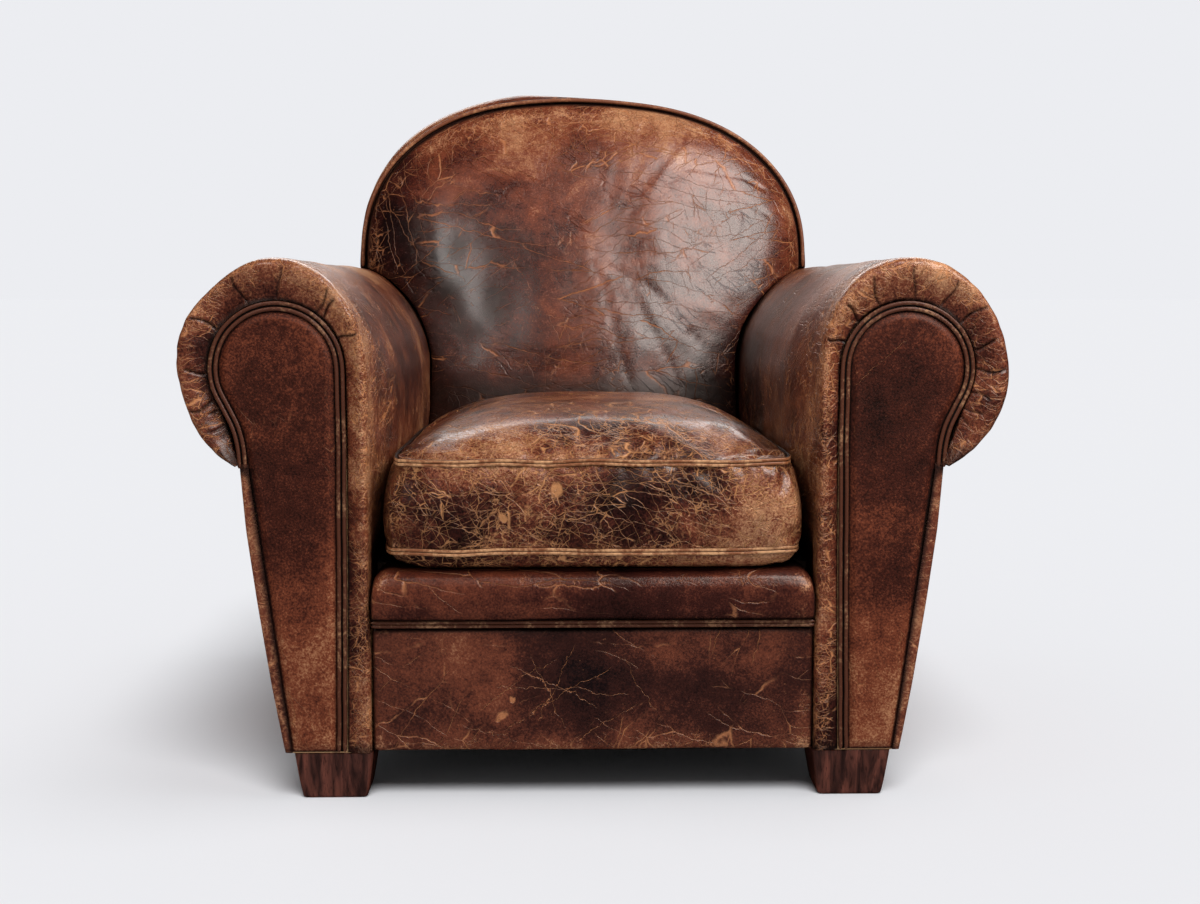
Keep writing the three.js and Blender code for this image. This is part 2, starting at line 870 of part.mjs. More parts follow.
// ---------------------------------------------------------------- the chair
const chair = new THREE.Group();
for (const side of [1, -1]) {
  chair.add(arm(side));
  for (const end of ["front", "rear"]) {
    chair.add(...footPieces(side, end));
  }
}
chair.add(
  seatFrame(),
  webbing(),
  springs(),
  springCover(),
  seatFront(),
  backPad(),
  backShell(),
  seatCushion(),
  dustCover(),
);

// The origin is on the floor, under the middle of the chair's width and depth.
chair.updateMatrixWorld(true);
const extent = new THREE.Box3().setFromObject(chair, true);
chair.position.y = -(extent.min.y + extent.max.y) / 2;

export default chair;
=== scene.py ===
"""A worn leather club chair: stuffed arms and back, a loose seat cushion, corded welts and block feet.

Metres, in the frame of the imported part: +X is the sitter's left, +Y the back of the chair, +Z is up and the
floor is z = 0. Left and right are as seen from the front. Every arm piece is drawn for the right side, and
the left arm is its mirror image with its own dents and wear.
"""

import itertools
import logging
import math
from collections.abc import Callable, Sequence
from dataclasses import dataclass, field
from enum import Enum
from typing import Any

import bpy
import numpy as np
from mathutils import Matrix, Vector


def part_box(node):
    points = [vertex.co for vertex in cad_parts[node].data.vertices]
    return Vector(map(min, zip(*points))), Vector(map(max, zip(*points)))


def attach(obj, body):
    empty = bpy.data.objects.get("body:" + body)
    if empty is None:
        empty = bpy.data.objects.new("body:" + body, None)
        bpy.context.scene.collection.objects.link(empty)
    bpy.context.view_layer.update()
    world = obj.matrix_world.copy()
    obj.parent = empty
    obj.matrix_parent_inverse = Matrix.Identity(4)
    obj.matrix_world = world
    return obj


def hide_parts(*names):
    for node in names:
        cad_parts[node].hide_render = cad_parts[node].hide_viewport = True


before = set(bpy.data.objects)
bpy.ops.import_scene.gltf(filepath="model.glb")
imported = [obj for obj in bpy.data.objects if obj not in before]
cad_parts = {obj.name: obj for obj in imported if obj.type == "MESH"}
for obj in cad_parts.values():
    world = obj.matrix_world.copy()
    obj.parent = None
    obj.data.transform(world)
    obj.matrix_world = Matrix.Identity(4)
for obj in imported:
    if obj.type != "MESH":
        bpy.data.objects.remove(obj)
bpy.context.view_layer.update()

Array = np.ndarray
log = logging.getLogger("club_chair")

# The drawing's datum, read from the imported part.
LOW, HIGH = 0, 1
DRAWN_APRON_FRONT = -0.4285
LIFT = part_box("front_apron")[LOW].y - DRAWN_APRON_FRONT  # how far packing moved the part along Y
SEAT_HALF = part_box("front_apron")[HIGH].x + 0.001
FRAME_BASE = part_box("back_post_right")[LOW].z
DECK_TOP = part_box("seat_deck")[HIGH].z
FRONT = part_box("arm_facing_right")[LOW].y - LIFT
ROLL_REAR = 0.388  # Y where the arm rolls end
HEM = 0.054  # height of the leather's lower edge


# ---------------------------------------------------------------- numbers
def smooth(low: float, high: float, value: Array | float) -> Array:
    """Smooth step: 0 at low, 1 at high, level at both ends."""
    t = np.clip((np.asarray(value, float) - low) / (high - low), 0.0, 1.0)
    return t * t * (3.0 - 2.0 * t)


def bell(value: Array, width: float) -> Array:
    """A bell curve of a half width."""
    return np.exp(-((value / width) ** 2))


def cloud(points: Array, size: float, seed: int) -> Array:
    """Smooth random field from -1 to 1.

    Each corner of a lattice of cubes has a hashed random number, and a point takes the smooth-stepped
    blend of the eight around it.

    Args:
        points: places, (..., 3).
        size: side of the cubes.
        seed: picks another field.

    Returns:
        One number for each place.
    """
    cells = points / size + 1000.0
    low = np.floor(cells).astype(np.int64)
    part = cells - low
    part = part * part * (3.0 - 2.0 * part)
    total = np.zeros(points.shape[:-1])
    for corner in itertools.product((0, 1), repeat=3):
        at = low + np.array(corner)
        code = at[..., 0] * 73856093 ^ at[..., 1] * 19349663 ^ at[..., 2] * 83492791 ^ seed * 7919
        code = (code ^ (code >> 13)) * 1274126177
        value = ((code ^ (code >> 16)) & 0xFFFF) / 32767.5 - 1.0
        total += np.prod(np.where(np.array(corner), part, 1.0 - part), axis=-1) * value
    return total


def dents(points: Array, *layers: tuple[float, float, int]) -> Array:
    """The sum of random fields, each given as its size, its amount and its seed."""
    return sum(cloud(points, size, seed) * amount for size, amount, seed in layers)


def stepped(places: Sequence[float], counts: Sequence[int]) -> Array:
    """Numbers that rise from place to place, with a count of even steps in each part."""
    parts = [np.linspace(a, b, n)[:-1] for a, b, n in zip(places, places[1:], counts)]
    return np.concatenate([*parts, places[-1:]])


def resample(line: Array, count: int) -> Array:
    """Points evenly spaced along a line."""
    steps = np.linalg.norm(np.diff(line, axis=0), axis=1)
    along = np.concatenate([[0.0], np.cumsum(steps)])
    at = np.linspace(0.0, along[-1], count)
    return np.stack([np.interp(at, along, line[:, k]) for k in range(line.shape[1])], axis=1)


def softened(line: Array, count: int, passes: int) -> Array:
    """An open line resampled, with its corners eased by repeated averaging of neighbours."""
    eased = resample(line, count)
    for _ in range(passes):
        eased[1:-1] = (eased[:-2] + 2.0 * eased[1:-1] + eased[2:]) / 4.0
    return eased


def offset(line: Array, distance: float) -> Array:
    """An open plane line moved to its left by a distance."""
    along = np.gradient(line, axis=0)
    along /= np.linalg.norm(along, axis=1, keepdims=True)
    return line + distance * np.stack([-along[:, 1], along[:, 0]], axis=1)


def superellipse(centre: tuple[float, float], half: tuple[float, float], power: float, angle: Array) -> Array:
    """Points of a superellipse: signed powers 2/power of the cosine and sine, times the half axes."""
    turn = np.radians(angle)
    c, s = np.cos(turn), np.sin(turn)
    e = 2.0 / power
    x = centre[0] + half[0] * np.sign(c) * np.abs(c) ** e
    y = centre[1] + half[1] * np.sign(s) * np.abs(s) ** e
    return np.stack([x, y], axis=-1)


# ---------------------------------------------------------------- surfaces
def grid_quads(rows: int, columns: int, wrap: bool = False, first: int = 0) -> Array:
    """The quads of a grid of points, whose columns may join up into loops."""
    r, c = np.meshgrid(np.arange(rows - 1), np.arange(columns - (not wrap)), indexing="ij")
    r, c = r.ravel(), c.ravel()
    on = (c + 1) % columns
    quads = [r * columns + c, r * columns + on, (r + 1) * columns + on, (r + 1) * columns + c]
    return np.stack(quads, axis=-1) + first


def rim(rows: int, columns: int) -> Array:
    """The border of a grid as one loop of point numbers."""
    at = np.arange(rows * columns).reshape(rows, columns)
    return np.concatenate([at[0, :-1], at[:-1, -1], at[-1, :0:-1], at[:0:-1, 0]])


@dataclass
class Surface:
    """A closed surface of quads and a few flat caps, with named numbers at its points."""

    points: Array
    quads: Array
    caps: list[Array] = field(default_factory=list)
    marks: dict[str, Array] = field(default_factory=dict)

    def __post_init__(self) -> None:
        """Turns the faces outwards: the volume swept from the origin comes out positive."""
        self.points = np.asarray(self.points, float).reshape(-1, 3)
        self.marks = {name: np.asarray(v, float).ravel() for name, v in self.marks.items()}
        corner = self.points[self.quads]
        a, b, c, d = (corner[:, k] for k in range(4))
        volume = (np.cross(a, b) * c).sum() + (np.cross(a, c) * d).sum()
        for cap in self.caps:
            p = self.points[cap]
            volume += (np.cross(p[0], p[1:-1]) * p[2:]).sum()
        if volume < 0.0:
            self.quads = self.quads[:, ::-1]
            self.caps = [cap[::-1] for cap in self.caps]

    def normals(self) -> Array:
        """Outward directions at the points: the sum of the crossed diagonals of the quads around."""
        corner = self.points[self.quads]
        face = np.cross(corner[:, 2] - corner[:, 0], corner[:, 3] - corner[:, 1])
        at, count = self.quads.ravel(), len(self.points)
        total = np.stack([np.bincount(at, np.repeat(face[:, k], 4), count) for k in range(3)], axis=1)
        return total / np.maximum(np.linalg.norm(total, axis=1, keepdims=True), 1e-12)

    def push(self, amount: Array) -> "Surface":
        """Moves each point out along its normal."""
        self.points = self.points + self.normals() * np.asarray(amount).reshape(-1, 1)
        return self

    def in_place(self) -> "Surface":
        """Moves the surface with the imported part, which was centred along Y."""
        self.points[:, 1] += LIFT
        return self

    def mirrored(self, side: int) -> "Surface":
        """The surface, or its mirror image in x where side is -1."""
        return Surface(self.points * (side, 1.0, 1.0), self.quads, self.caps, self.marks)

    def piece(self, name: str, material: bpy.types.Material, crease: float = 60.0) -> bpy.types.Object:
        """Puts the surface into the scene.

        Args:
            name: the piece's name.
            material: its finish.
            crease: angle in degrees past which an edge stays sharp.

        Returns:
            The new object, at the origin.
        """
        mesh = bpy.data.meshes.new(name)
        faces = self.quads.tolist() + [cap.tolist() for cap in self.caps]
        mesh.from_pydata(self.points.tolist(), [], faces)
        mesh.shade_smooth()
        mesh.set_sharp_from_angle(angle=math.radians(crease))
        for mark, values in self.marks.items():
            layer = mesh.attributes.new(mark, "FLOAT", "POINT")
            layer.data.foreach_set("value", values.astype(np.float32))
        mesh.materials.append(material)
        made = bpy.data.objects.new(name, mesh)
        bpy.context.scene.collection.objects.link(made)
        return made


def joined(parts: Sequence[Surface]) -> Surface:
    """Several surfaces as one piece."""
    starts = np.cumsum([0] + [len(p.points) for p in parts])
    return Surface(
        np.concatenate([p.points for p in parts]),
        np.concatenate([p.quads + s for p, s in zip(parts, starts)]),
        [cap + s for p, s in zip(parts, starts) for cap in p.caps],
        {name: np.concatenate([p.marks[name] for p in parts]) for name in parts[0].marks},
    )


def lofted(loops: Array, marks: dict[str, Array] | None = None) -> Surface:
    """Loops of equal length joined one to the next, with a flat cap over the first and the last."""
    rows, columns = loops.shape[:2]
    last = np.arange(columns) + (rows - 1) * columns
    caps = [np.arange(columns)[::-1], last]
    return Surface(loops, grid_quads(rows, columns, wrap=True), caps, marks or {})


def cased(
    front: Array,
    back: Array,
    marks: dict[str, Array] | None = None,
    walls: Array | None = None,
) -> Surface:
    """Two grids of equal size with their borders joined, straight or by wall loops.

    Args:
        front: (n, m, 3) points.
        back: (n, m, 3) points.
        marks: numbers for the front, wall and back points in turn.
        walls: (k, border, 3) points of the loops between, in the border's order.

    Returns:
        One closed surface without poles.
    """
    rows, columns = front.shape[:2]
    edge = rim(rows, columns)
    count, length = rows * columns, len(edge)
    if walls is None:
        walls = np.empty((0, length, 3))
    start = count + len(walls) * length
    loops = [edge, *(count + i * length + np.arange(length) for i in range(len(walls))), start + edge]
    strips = [np.stack([a, b, np.roll(b, -1), np.roll(a, -1)], axis=1) for a, b in zip(loops, loops[1:])]
    points = np.concatenate([part.reshape(-1, 3) for part in (front, walls, back)])
    behind = grid_quads(rows, columns, first=start)[:, ::-1]
    return Surface(points, np.concatenate([grid_quads(rows, columns), *strips, behind]), [], marks or {})


def wear(edge: Array, soil: Array, pleat: Array | float = 0.0) -> dict[str, Array]:
    """The marks that the leathers read: rubbed edges, dirt with painted shade at seams, recesses and
    undersides, and painted shade in the bottoms of pleats.
    """
    return {"edge": edge, "soil": soil, "pleat": pleat + 0 * soil}


def disc(count: int) -> tuple[Array, Array]:
    """A square grid drawn onto a disc without a pole, as radius and angle at each point.

    Each coordinate is shortened by the square root of one less half the square of the other.
    """
    u, v = np.meshgrid(np.linspace(-1, 1, count), np.linspace(-1, 1, count))
    x, y = u * np.sqrt(1 - v * v / 2), v * np.sqrt(1 - u * u / 2)
    return np.minimum(np.hypot(x, y), 1.0), np.arctan2(y, x)


def reach(outline: Array, centre: tuple[float, float], angle: Array) -> Array:
    """How far an outline is from a centre that sees all of it, in each direction."""
    dense = resample(np.concatenate([outline, outline[:1]]), 4000)[:-1] - np.array(centre)
    return np.interp(angle, *sorted_polar(dense), period=2 * np.pi)


def sorted_polar(points: Array) -> tuple[Array, Array]:
    """Angles in rising order, and the distances that go with them."""
    angle = np.arctan2(points[:, 1], points[:, 0])
    order = np.argsort(angle)
    return angle[order], np.hypot(points[order, 0], points[order, 1])


def tube(path: Array, radius: float, facing: Array, sides: int = 12, closed: bool = False) -> Surface:
    """A cord along a path: a circle across the path at each point, drawn in at the ends.

    Args:
        path: (n, 3) points.
        radius: the cord's radius.
        facing: direction or directions out of the surface that the cord lies on.
        sides: points round the cord.
        closed: whether the path is a loop.

    Returns:
        The cord, with "front" running from -1 underneath to 1 on its outer side.
    """
    if closed:
        along = np.roll(path, -1, axis=0) - np.roll(path, 1, axis=0)
    else:
        along = np.gradient(path, axis=0)
    along /= np.linalg.norm(along, axis=1, keepdims=True)
    out = np.broadcast_to(np.asarray(facing, float), path.shape)
    across = np.cross(along, out)
    across /= np.linalg.norm(across, axis=1, keepdims=True)
    out = np.cross(across, along)
    turn = np.linspace(0, 2 * np.pi, sides, endpoint=False)
    size = np.full(len(path), radius)
    if not closed:
        ends = np.minimum(np.arange(len(path)), np.arange(len(path))[::-1])
        size = size * np.array([0.45, 0.85])[np.minimum(ends, 1)] ** (ends < 2)
    ring = across[:, None] * np.cos(turn)[:, None] + out[:, None] * np.sin(turn)[:, None]
    loops = path[:, None] + ring * size[:, None, None]
    front = np.broadcast_to(np.sin(turn), loops.shape[:2])
    if not closed:
        return lofted(loops, {"front": front})
    rows = len(path)
    quads = grid_quads(rows + 1, sides, wrap=True) % (rows * sides)
    return Surface(loops, quads, [], {"front": front})


def slab(top: Array, bottom: Array, kept: Array) -> Surface:
    """A sheet with a thickness: two grids of points, the cells that are kept, and a wall round them."""
    rows, columns = top.shape[:2]
    cells = grid_quads(rows, columns)[kept.ravel()]
    sides = np.concatenate([cells[:, [k, (k + 1) % 4]] for k in range(4)])
    code = sides[:, 0] * rows * columns + sides[:, 1]
    other = sides[:, 1] * rows * columns + sides[:, 0]
    edge = sides[~np.isin(code, other)]
    count = rows * columns
    walls = np.stack([edge[:, 1], edge[:, 0], edge[:, 0] + count, edge[:, 1] + count], axis=1)
    quads = np.concatenate([cells, cells[:, ::-1] + count, walls])
    used, quads = np.unique(quads, return_inverse=True)
    points = np.concatenate([top.reshape(-1, 3), bottom.reshape(-1, 3)])[used]
    return Surface(points, quads.reshape(-1, 4))


# ---------------------------------------------------------------- shader bench
def tint(code: str) -> tuple[float, float, float, float]:
    """A colour written as six hexadecimal digits, in linear light."""
    parts = [int(code[k : k + 2], 16) / 255 for k in (0, 2, 4)]
    line = [c / 12.92 if c <= 0.04045 else ((c + 0.055) / 1.055) ** 2.4 for c in parts]
    return (*line, 1.0)


def operator(operation: str, reflected: bool = False) -> Callable[["Signal", "Signal | float"], "Signal"]:
    """A method of Signal that adds a Math node; reflected puts the other value first."""

    def apply(self: "Signal", other: "Signal | float") -> "Signal":
        """The node's result for this signal and another value."""
        return self.math(operation, *((other, self) if reflected else (self, other)))

    return apply


class Signal:
    """A socket of a material; arithmetic on it adds Math nodes."""

    def __init__(self, bench: "Bench", socket: bpy.types.NodeSocket) -> None:
        """Wraps a socket of a bench's material."""
        self.bench = bench
        self.socket = socket

    __add__, __radd__ = operator("ADD"), operator("ADD", reflected=True)
    __sub__, __rsub__ = operator("SUBTRACT"), operator("SUBTRACT", reflected=True)
    __mul__, __rmul__ = operator("MULTIPLY"), operator("MULTIPLY", reflected=True)
    most = operator("MAXIMUM")

    def math(self, operation: str, *values: "Signal | float") -> "Signal":
        """A Math node of an operation on values, in their order."""
        return self.bench.node("Math", {"operation": operation}, dict(enumerate(values)))

    def __abs__(self) -> "Signal":
        """Size without sign."""
        return self.math("ABSOLUTE", self)

    def rise(self, low: float, high: float) -> "Signal":
        """Smooth step from 0 at low to 1 at high; low may be the larger."""
        ends = {"Value": self, "From Min": low, "From Max": high}
        return self.bench.node("MapRange", {"interpolation_type": "SMOOTHSTEP"}, ends)


class Bench:
    """Where one material's nodes are put together."""

    def __init__(self, name: str) -> None:
        """Starts an empty material of a name."""
        self.material = bpy.data.materials.new(name)
        self.material.use_nodes = True
        self.tree = self.material.node_tree
        self.tree.nodes.clear()
        self.where = self.node("TexCoord", {}, {}, "Object")

    def node(
        self,
        kind: str,
        settings: dict[str, Any],
        inputs: dict[int | str, Any],
        output: int | str = 0,
    ) -> Signal:
        """Adds a node.

        Args:
            kind: the node's type, without its prefix.
            settings: its settings, set first; "stops" gives a ramp's (place, colour) pairs.
            inputs: values or signals for its sockets.
            output: which of its outputs is wanted.

        Returns:
            That output.
        """
        made = self.tree.nodes.new("ShaderNode" + kind)
        for name, value in settings.items():
            if name == "stops":
                elements = made.color_ramp.elements
                while len(elements) < len(value):
                    elements.new(1.0)
                for element, (place, colour) in zip(elements, value):
                    element.position = place
                    element.color = colour
            else:
                setattr(made, name, value)
        for name, value in inputs.items():
            if isinstance(value, Signal):
                self.tree.links.new(value.socket, made.inputs[name])
            else:
                made.inputs[name].default_value = value
        return Signal(self, made.outputs[output])

    def mark(self, name: str) -> Signal:
        """The number of that name at the piece's points."""
        return self.node("Attribute", {"attribute_name": name}, {}, "Fac")

    def axes(self, where: Signal | None = None) -> tuple[Signal, Signal, Signal]:
        """The x, y and z of a place."""
        split = self.node("SeparateXYZ", {}, {0: where or self.where}).socket.node
        return tuple(Signal(self, split.outputs[k]) for k in range(3))

    def noise(self, scale: float, detail: float = 3.0, rough: float = 0.55, **more: Any) -> Signal:
        """Noise of so many patches a metre; where=, bend= and colour=True are the options."""
        values = {"Vector": more.get("where", self.where), "Scale": scale, "Detail": detail}
        values |= {"Roughness": rough, "Distortion": more.get("bend", 0.0)}
        return self.node("TexNoise", {}, values, "Color" if more.get("colour") else "Fac")

    def turned(self, turn: Sequence[float], scale: Sequence[float], where: Signal | None = None) -> Signal:
        """The place turned by angles in degrees and measured in cells of a size along each axis."""
        angles = tuple(math.radians(a) for a in turn)
        values = {"Vector": where or self.where, "Rotation": angles, "Scale": scale}
        return self.node("Mapping", {"vector_type": "TEXTURE"}, values)

    def bent(self, scale: float, amount: float, where: Signal | None = None) -> Signal:
        """The place pushed about by noise, by up to half an amount each way."""
        field_ = self.noise(scale, 2.0, 0.5, colour=True)
        share = {0: field_, 1: (amount,) * 3, 2: (-amount / 2,) * 3}
        push = self.node("VectorMath", {"operation": "MULTIPLY_ADD"}, share)
        return self.node("VectorMath", {"operation": "ADD"}, {0: where or self.where, 1: push})

    def cracks(self, where: Signal, scale: float, width: float) -> Signal:
        """Thin lines between cells, 1 on a line and 0 a width away from it."""
        values = {"Vector": where, "Scale": scale}
        apart = self.node("TexVoronoi", {"feature": "DISTANCE_TO_EDGE"}, values, "Distance")
        return apart.rise(width, 0.0)

    def mix(self, low: Any, high: Any, share: Signal | float) -> Signal:
        """One colour turning into another by a share."""
        return self.node("Mix", {"data_type": "RGBA"}, {0: share, 6: low, 7: high}, 2)

    def times(self, colour: Any, other: Any, share: Signal | float = 1.0) -> Signal:
        """A colour multiplied by another, by a share."""
        settings = {"data_type": "RGBA", "blend_type": "MULTIPLY"}
        return self.node("Mix", settings, {0: share, 6: colour, 7: other}, 2)

    def ramp(self, value: Signal, *stops: tuple[float, str]) -> Signal:
        """Colours along a value."""
        return self.node("ValToRGB", {"stops": [(at, tint(code)) for at, code in stops]}, {0: value})

    def relief(self, height: Signal, depth: float, under: Signal | None = None) -> Signal:
        """A normal from a height between 0 and 1 that stands for a depth in metres."""
        values = {"Height": height, "Distance": depth, "Strength": 1.0}
        if under:
            values["Normal"] = under
        return self.node("Bump", {}, values)

    def finish(self, **sockets: Any) -> bpy.types.Material:
        """Ends the material in one plain shader; names are its sockets with _ for a space."""
        values = {name.replace("_", " "): value for name, value in sockets.items()}
        shader = self.node("BsdfPrincipled", {}, values)
        made = self.tree.nodes.new("ShaderNodeOutputMaterial")
        self.tree.links.new(shader.socket, made.inputs["Surface"])
        return self.material


# ---------------------------------------------------------------- finishes
DYE_STOPS = (0.22, 0.46, 0.68, 0.98)  # tones at which the leather's four colours lie
SHADE_AND_DIRT = (0.09, 0.05, 0.04, 1.0)  # what is left of a colour under full dirt and painted shade
LEATHER_GLINT = (1.0, 0.84, 0.76, 1.0)
SWELL_DEPTH, CREASE_DEPTH, GRAIN_DEPTH = 0.010, 0.0012, 0.0011  # relief of the leather, in metres


@dataclass(frozen=True)
class Stroke:
    """A scratch or a scuff on a front: a straight mark in the XZ plane."""

    start: tuple[float, float]
    end: tuple[float, float]
    width: float = 0.00045

    def mask(self, x: Signal, z: Signal) -> Signal:
        """1 on the mark: narrow across the line and between its two ends."""
        dx, dz = self.end[0] - self.start[0], self.end[1] - self.start[1]
        long = math.hypot(dx, dz)
        dx, dz = dx / long, dz / long
        along = x * dx + z * dz - (self.start[0] * dx + self.start[1] * dz + long / 2)
        across = x * dz - z * dx - (self.start[0] * dz - self.start[1] * dx)
        return abs(across).rise(self.width, 0.0) * abs(along).rise(long / 2, long / 2 - 0.012)


@dataclass(frozen=True)
class Spot:
    """A worn-through spot on a front: centre in the XZ plane and radius."""

    centre: tuple[float, float]
    radius: float

    def mask(self, x: Signal, z: Signal) -> Signal:
        """1 in the middle of the spot, 0 past its radius."""
        side, up = x - self.centre[0], z - self.centre[1]
        return (side * side + up * up).rise(self.radius**2, self.radius**2 * 0.3)


@dataclass(frozen=True)
class Tone:
    """A place where the dye has gone lighter, above 0, or darker: centre in the XZ plane and reach."""

    centre: tuple[float, float]
    reach: tuple[float, float]
    amount: float

    def field(self, x: Signal, z: Signal) -> Signal:
        """The amount in the middle, falling smoothly to 0 at the reach across and up."""
        side = (x - self.centre[0]) * (1 / self.reach[0])
        up = (z - self.centre[1]) * (1 / self.reach[1])
        return (side * side + up * up).rise(1.0, 0.0) * self.amount


@dataclass(frozen=True)
class Strand:
    """A drawn-out net of creases in one direction.

    turn is in degrees and size is that of a cell along each axis. width is that of a line in cells, share
    how much of the leather is creased, and tan how bare the creases are: 0 leaves them only sunk.
    """

    turn: tuple[float, float, float]
    size: tuple[float, float, float]
    width: float = 0.04
    share: float = 0.5
    tan: float = 1.0


@dataclass(frozen=True)
class Leather:
    """Old aniline leather: mottled dye, a net of fine cracks, long creases, specks, and wear to bare hide.

    deep, brown, warm and tan are its colours from the dirt to bare hide, and scar that of creases and
    scratches. The other numbers run from 0, none, to about 1, strong: light shifts the dye, contrast spreads
    it, net is the fine cracks and cell their number to the metre, wave the slow unevenness that breaks up
    reflections, grain the fine mottling, and whole how unbroken the creases are.
    """

    name: str
    deep: str = "140808"
    brown: str = "371611"
    warm: str = "6b3522"
    tan: str = "b3825d"
    scar: str = "a56a44"
    light: float = 0.0
    contrast: float = 1.0
    net: float = 0.5
    cell: float = 170.0
    stretch: tuple[float, float, float] = (1.0, 1.0, 1.0)
    specks: float = 0.4
    wave: float = 0.5
    grain: float = 0.5
    gloss: float = 0.34
    coat: float = 0.15
    shine: float = 0.4
    seed: float = 0.0
    strands: tuple[Strand, ...] = ()
    tones: tuple[Tone, ...] = ()
    strokes: tuple[Stroke, ...] = ()
    spots: tuple[Spot, ...] = ()
    whole: float = 0.0

    def material(self) -> bpy.types.Material:
        """The leather's material."""
        b = Bench(f"{self.name}_leather")
        x, _, z = b.axes()
        plain = b.where
        shift = (self.seed, self.seed * 0.7, -self.seed * 0.4)
        b.where = b.node("VectorMath", {"operation": "ADD"}, {0: b.where, 1: shift})
        edge, soil, pleat = b.mark("edge"), b.mark("soil"), b.mark("pleat")
        bent = b.bent(8.0, 0.05)
        broad = b.noise(4.5, 4.0, 0.6, where=bent)
        patch = b.noise(17.0, 5.0, 0.62, where=bent)
        speck = b.noise(80.0, 4.0, 0.7)
        grit = b.noise(430.0, 3.0, 0.7)

        tone = (broad - 0.5) * (1.25 * self.contrast) + (patch - 0.5) * (0.8 * self.contrast)
        tone = tone + (speck - 0.5) * (0.5 * self.grain) + (grit - 0.5) * (1.1 * self.grain)
        tone = tone + (0.5 + self.light)
        tone = tone + edge * 0.16
        for part in self.tones:
            tone = tone + part.field(x, z)
        dyed = b.ramp(tone, *zip(DYE_STOPS, (self.deep, self.brown, self.warm, self.tan)))
        bare = b.mix(tint(self.warm), tint(self.tan), (speck * 0.6 + grit * 0.4).rise(0.36, 0.6))

        lines, creased = self.creases(b, edge)
        if self.net:
            lines = lines.most(self.cracked(b, edge))
        if self.strokes or self.spots:
            lines = lines.most(self.placed(b, plain))
        dots = self.dotted(b) * self.specks
        colour = b.mix(dyed, tint(self.scar), lines.most(dots) * 0.9)
        worn = (edge + (speck - 0.5) * 1.3 + (grit - 0.5) * 1.2 + (patch - 0.5) * 1.0).rise(0.5, 1.0)
        colour = b.mix(colour, bare, worn * 0.75)
        # Painted shade, with some dirt: the marks read above darken seams, recesses, undersides and the
        # bottoms of pleats.
        dirt_and_shade = (soil + (patch - 0.5) * 0.5 * soil).rise(0.1, 0.95).most(pleat)
        colour = b.times(colour, SHADE_AND_DIRT, dirt_and_shade)

        rough = dirt_and_shade * 0.25 + worn.most(lines * 0.5) * 0.16
        rough = rough + (grit * 0.5 + speck * 0.5) * 0.16 + (self.gloss - 0.08)
        swell = b.noise(9.0, 3.0, 0.5, bend=0.5)
        slow = b.relief(swell, SWELL_DEPTH * self.wave)
        folded = b.relief(1.0 - lines.most(creased) * 0.8, CREASE_DEPTH, slow)
        normal = b.relief(speck * 0.6 + grit * 0.4, GRAIN_DEPTH * (0.4 + self.grain), folded)
        return b.finish(
            Base_Color=colour,
            Roughness=rough,
            Normal=normal,
            Coat_Weight=(1.0 - dirt_and_shade.most(lines * 0.85)) * self.coat,
            Coat_Roughness=0.2,
            Specular_IOR_Level=self.shine,
            Specular_Tint=LEATHER_GLINT,
        )

    def cracked(self, b: Bench, edge: Signal) -> Signal:
        """The fine net: small jagged cells, kept to patches and to the worn edges."""
        drawn = b.turned((0, 0, 0), self.stretch, b.bent(40.0, 0.016, b.bent(170.0, 0.004)))
        zone = b.noise(13.0, 4.0, 0.66, bend=0.6) + edge * 0.3
        low = 0.66 - 0.24 * self.net
        kept = zone.rise(low, low + 0.14)
        return b.cracks(drawn, self.cell, 0.09) * kept * b.noise(90.0, 2.0).rise(0.36, 0.56)

    def creases(self, b: Bench, edge: Signal) -> tuple[Signal, Signal]:
        """The bare creases, and all the creases, bare or not."""
        bare, all_ = edge * 0.0, edge * 0.0
        bent = b.bent(5.0, 0.06, b.bent(24.0, 0.018, b.bent(120.0, 0.0036)))
        broken = b.noise(40.0, 3.0, 0.6).rise(0.32 - self.whole, 0.54 - self.whole)
        for n, strand in enumerate(self.strands):
            drawn = b.cracks(b.turned(strand.turn, strand.size, bent), 1.0, strand.width)
            zone = b.noise(7.0 + 1.7 * n, 4.0, 0.64) + edge * 0.4
            low = 0.62 - 0.26 * strand.share
            drawn = drawn * zone.rise(low, low + 0.12) * broken
            all_ = all_.most(drawn)
            if strand.tan:
                bare = bare.most(drawn * strand.tan)
        return bare, all_

    def dotted(self, b: Bench) -> Signal:
        """Pin-prick specks where the dye has come off the grain."""
        near = b.node("TexVoronoi", {"feature": "F1"}, {"Vector": b.where, "Scale": 170.0}, "Distance")
        return near.rise(0.2, 0.08) * b.noise(55.0, 3.0, 0.7).rise(0.53, 0.62)

    def placed(self, b: Bench, plain: Signal) -> Signal:
        """The placed marks: scratches and bare spots, in the chair's own places."""
        x, _, z = b.axes(b.bent(19.0, 0.022, b.bent(130.0, 0.0080, plain)))
        total = b.mark("pleat") * 0.0
        for mark in (*self.strokes, *self.spots):
            total = total.most(mark.mask(x, z))
        return total * b.noise(70.0, 3.0, 0.7).rise(0.30, 0.48)


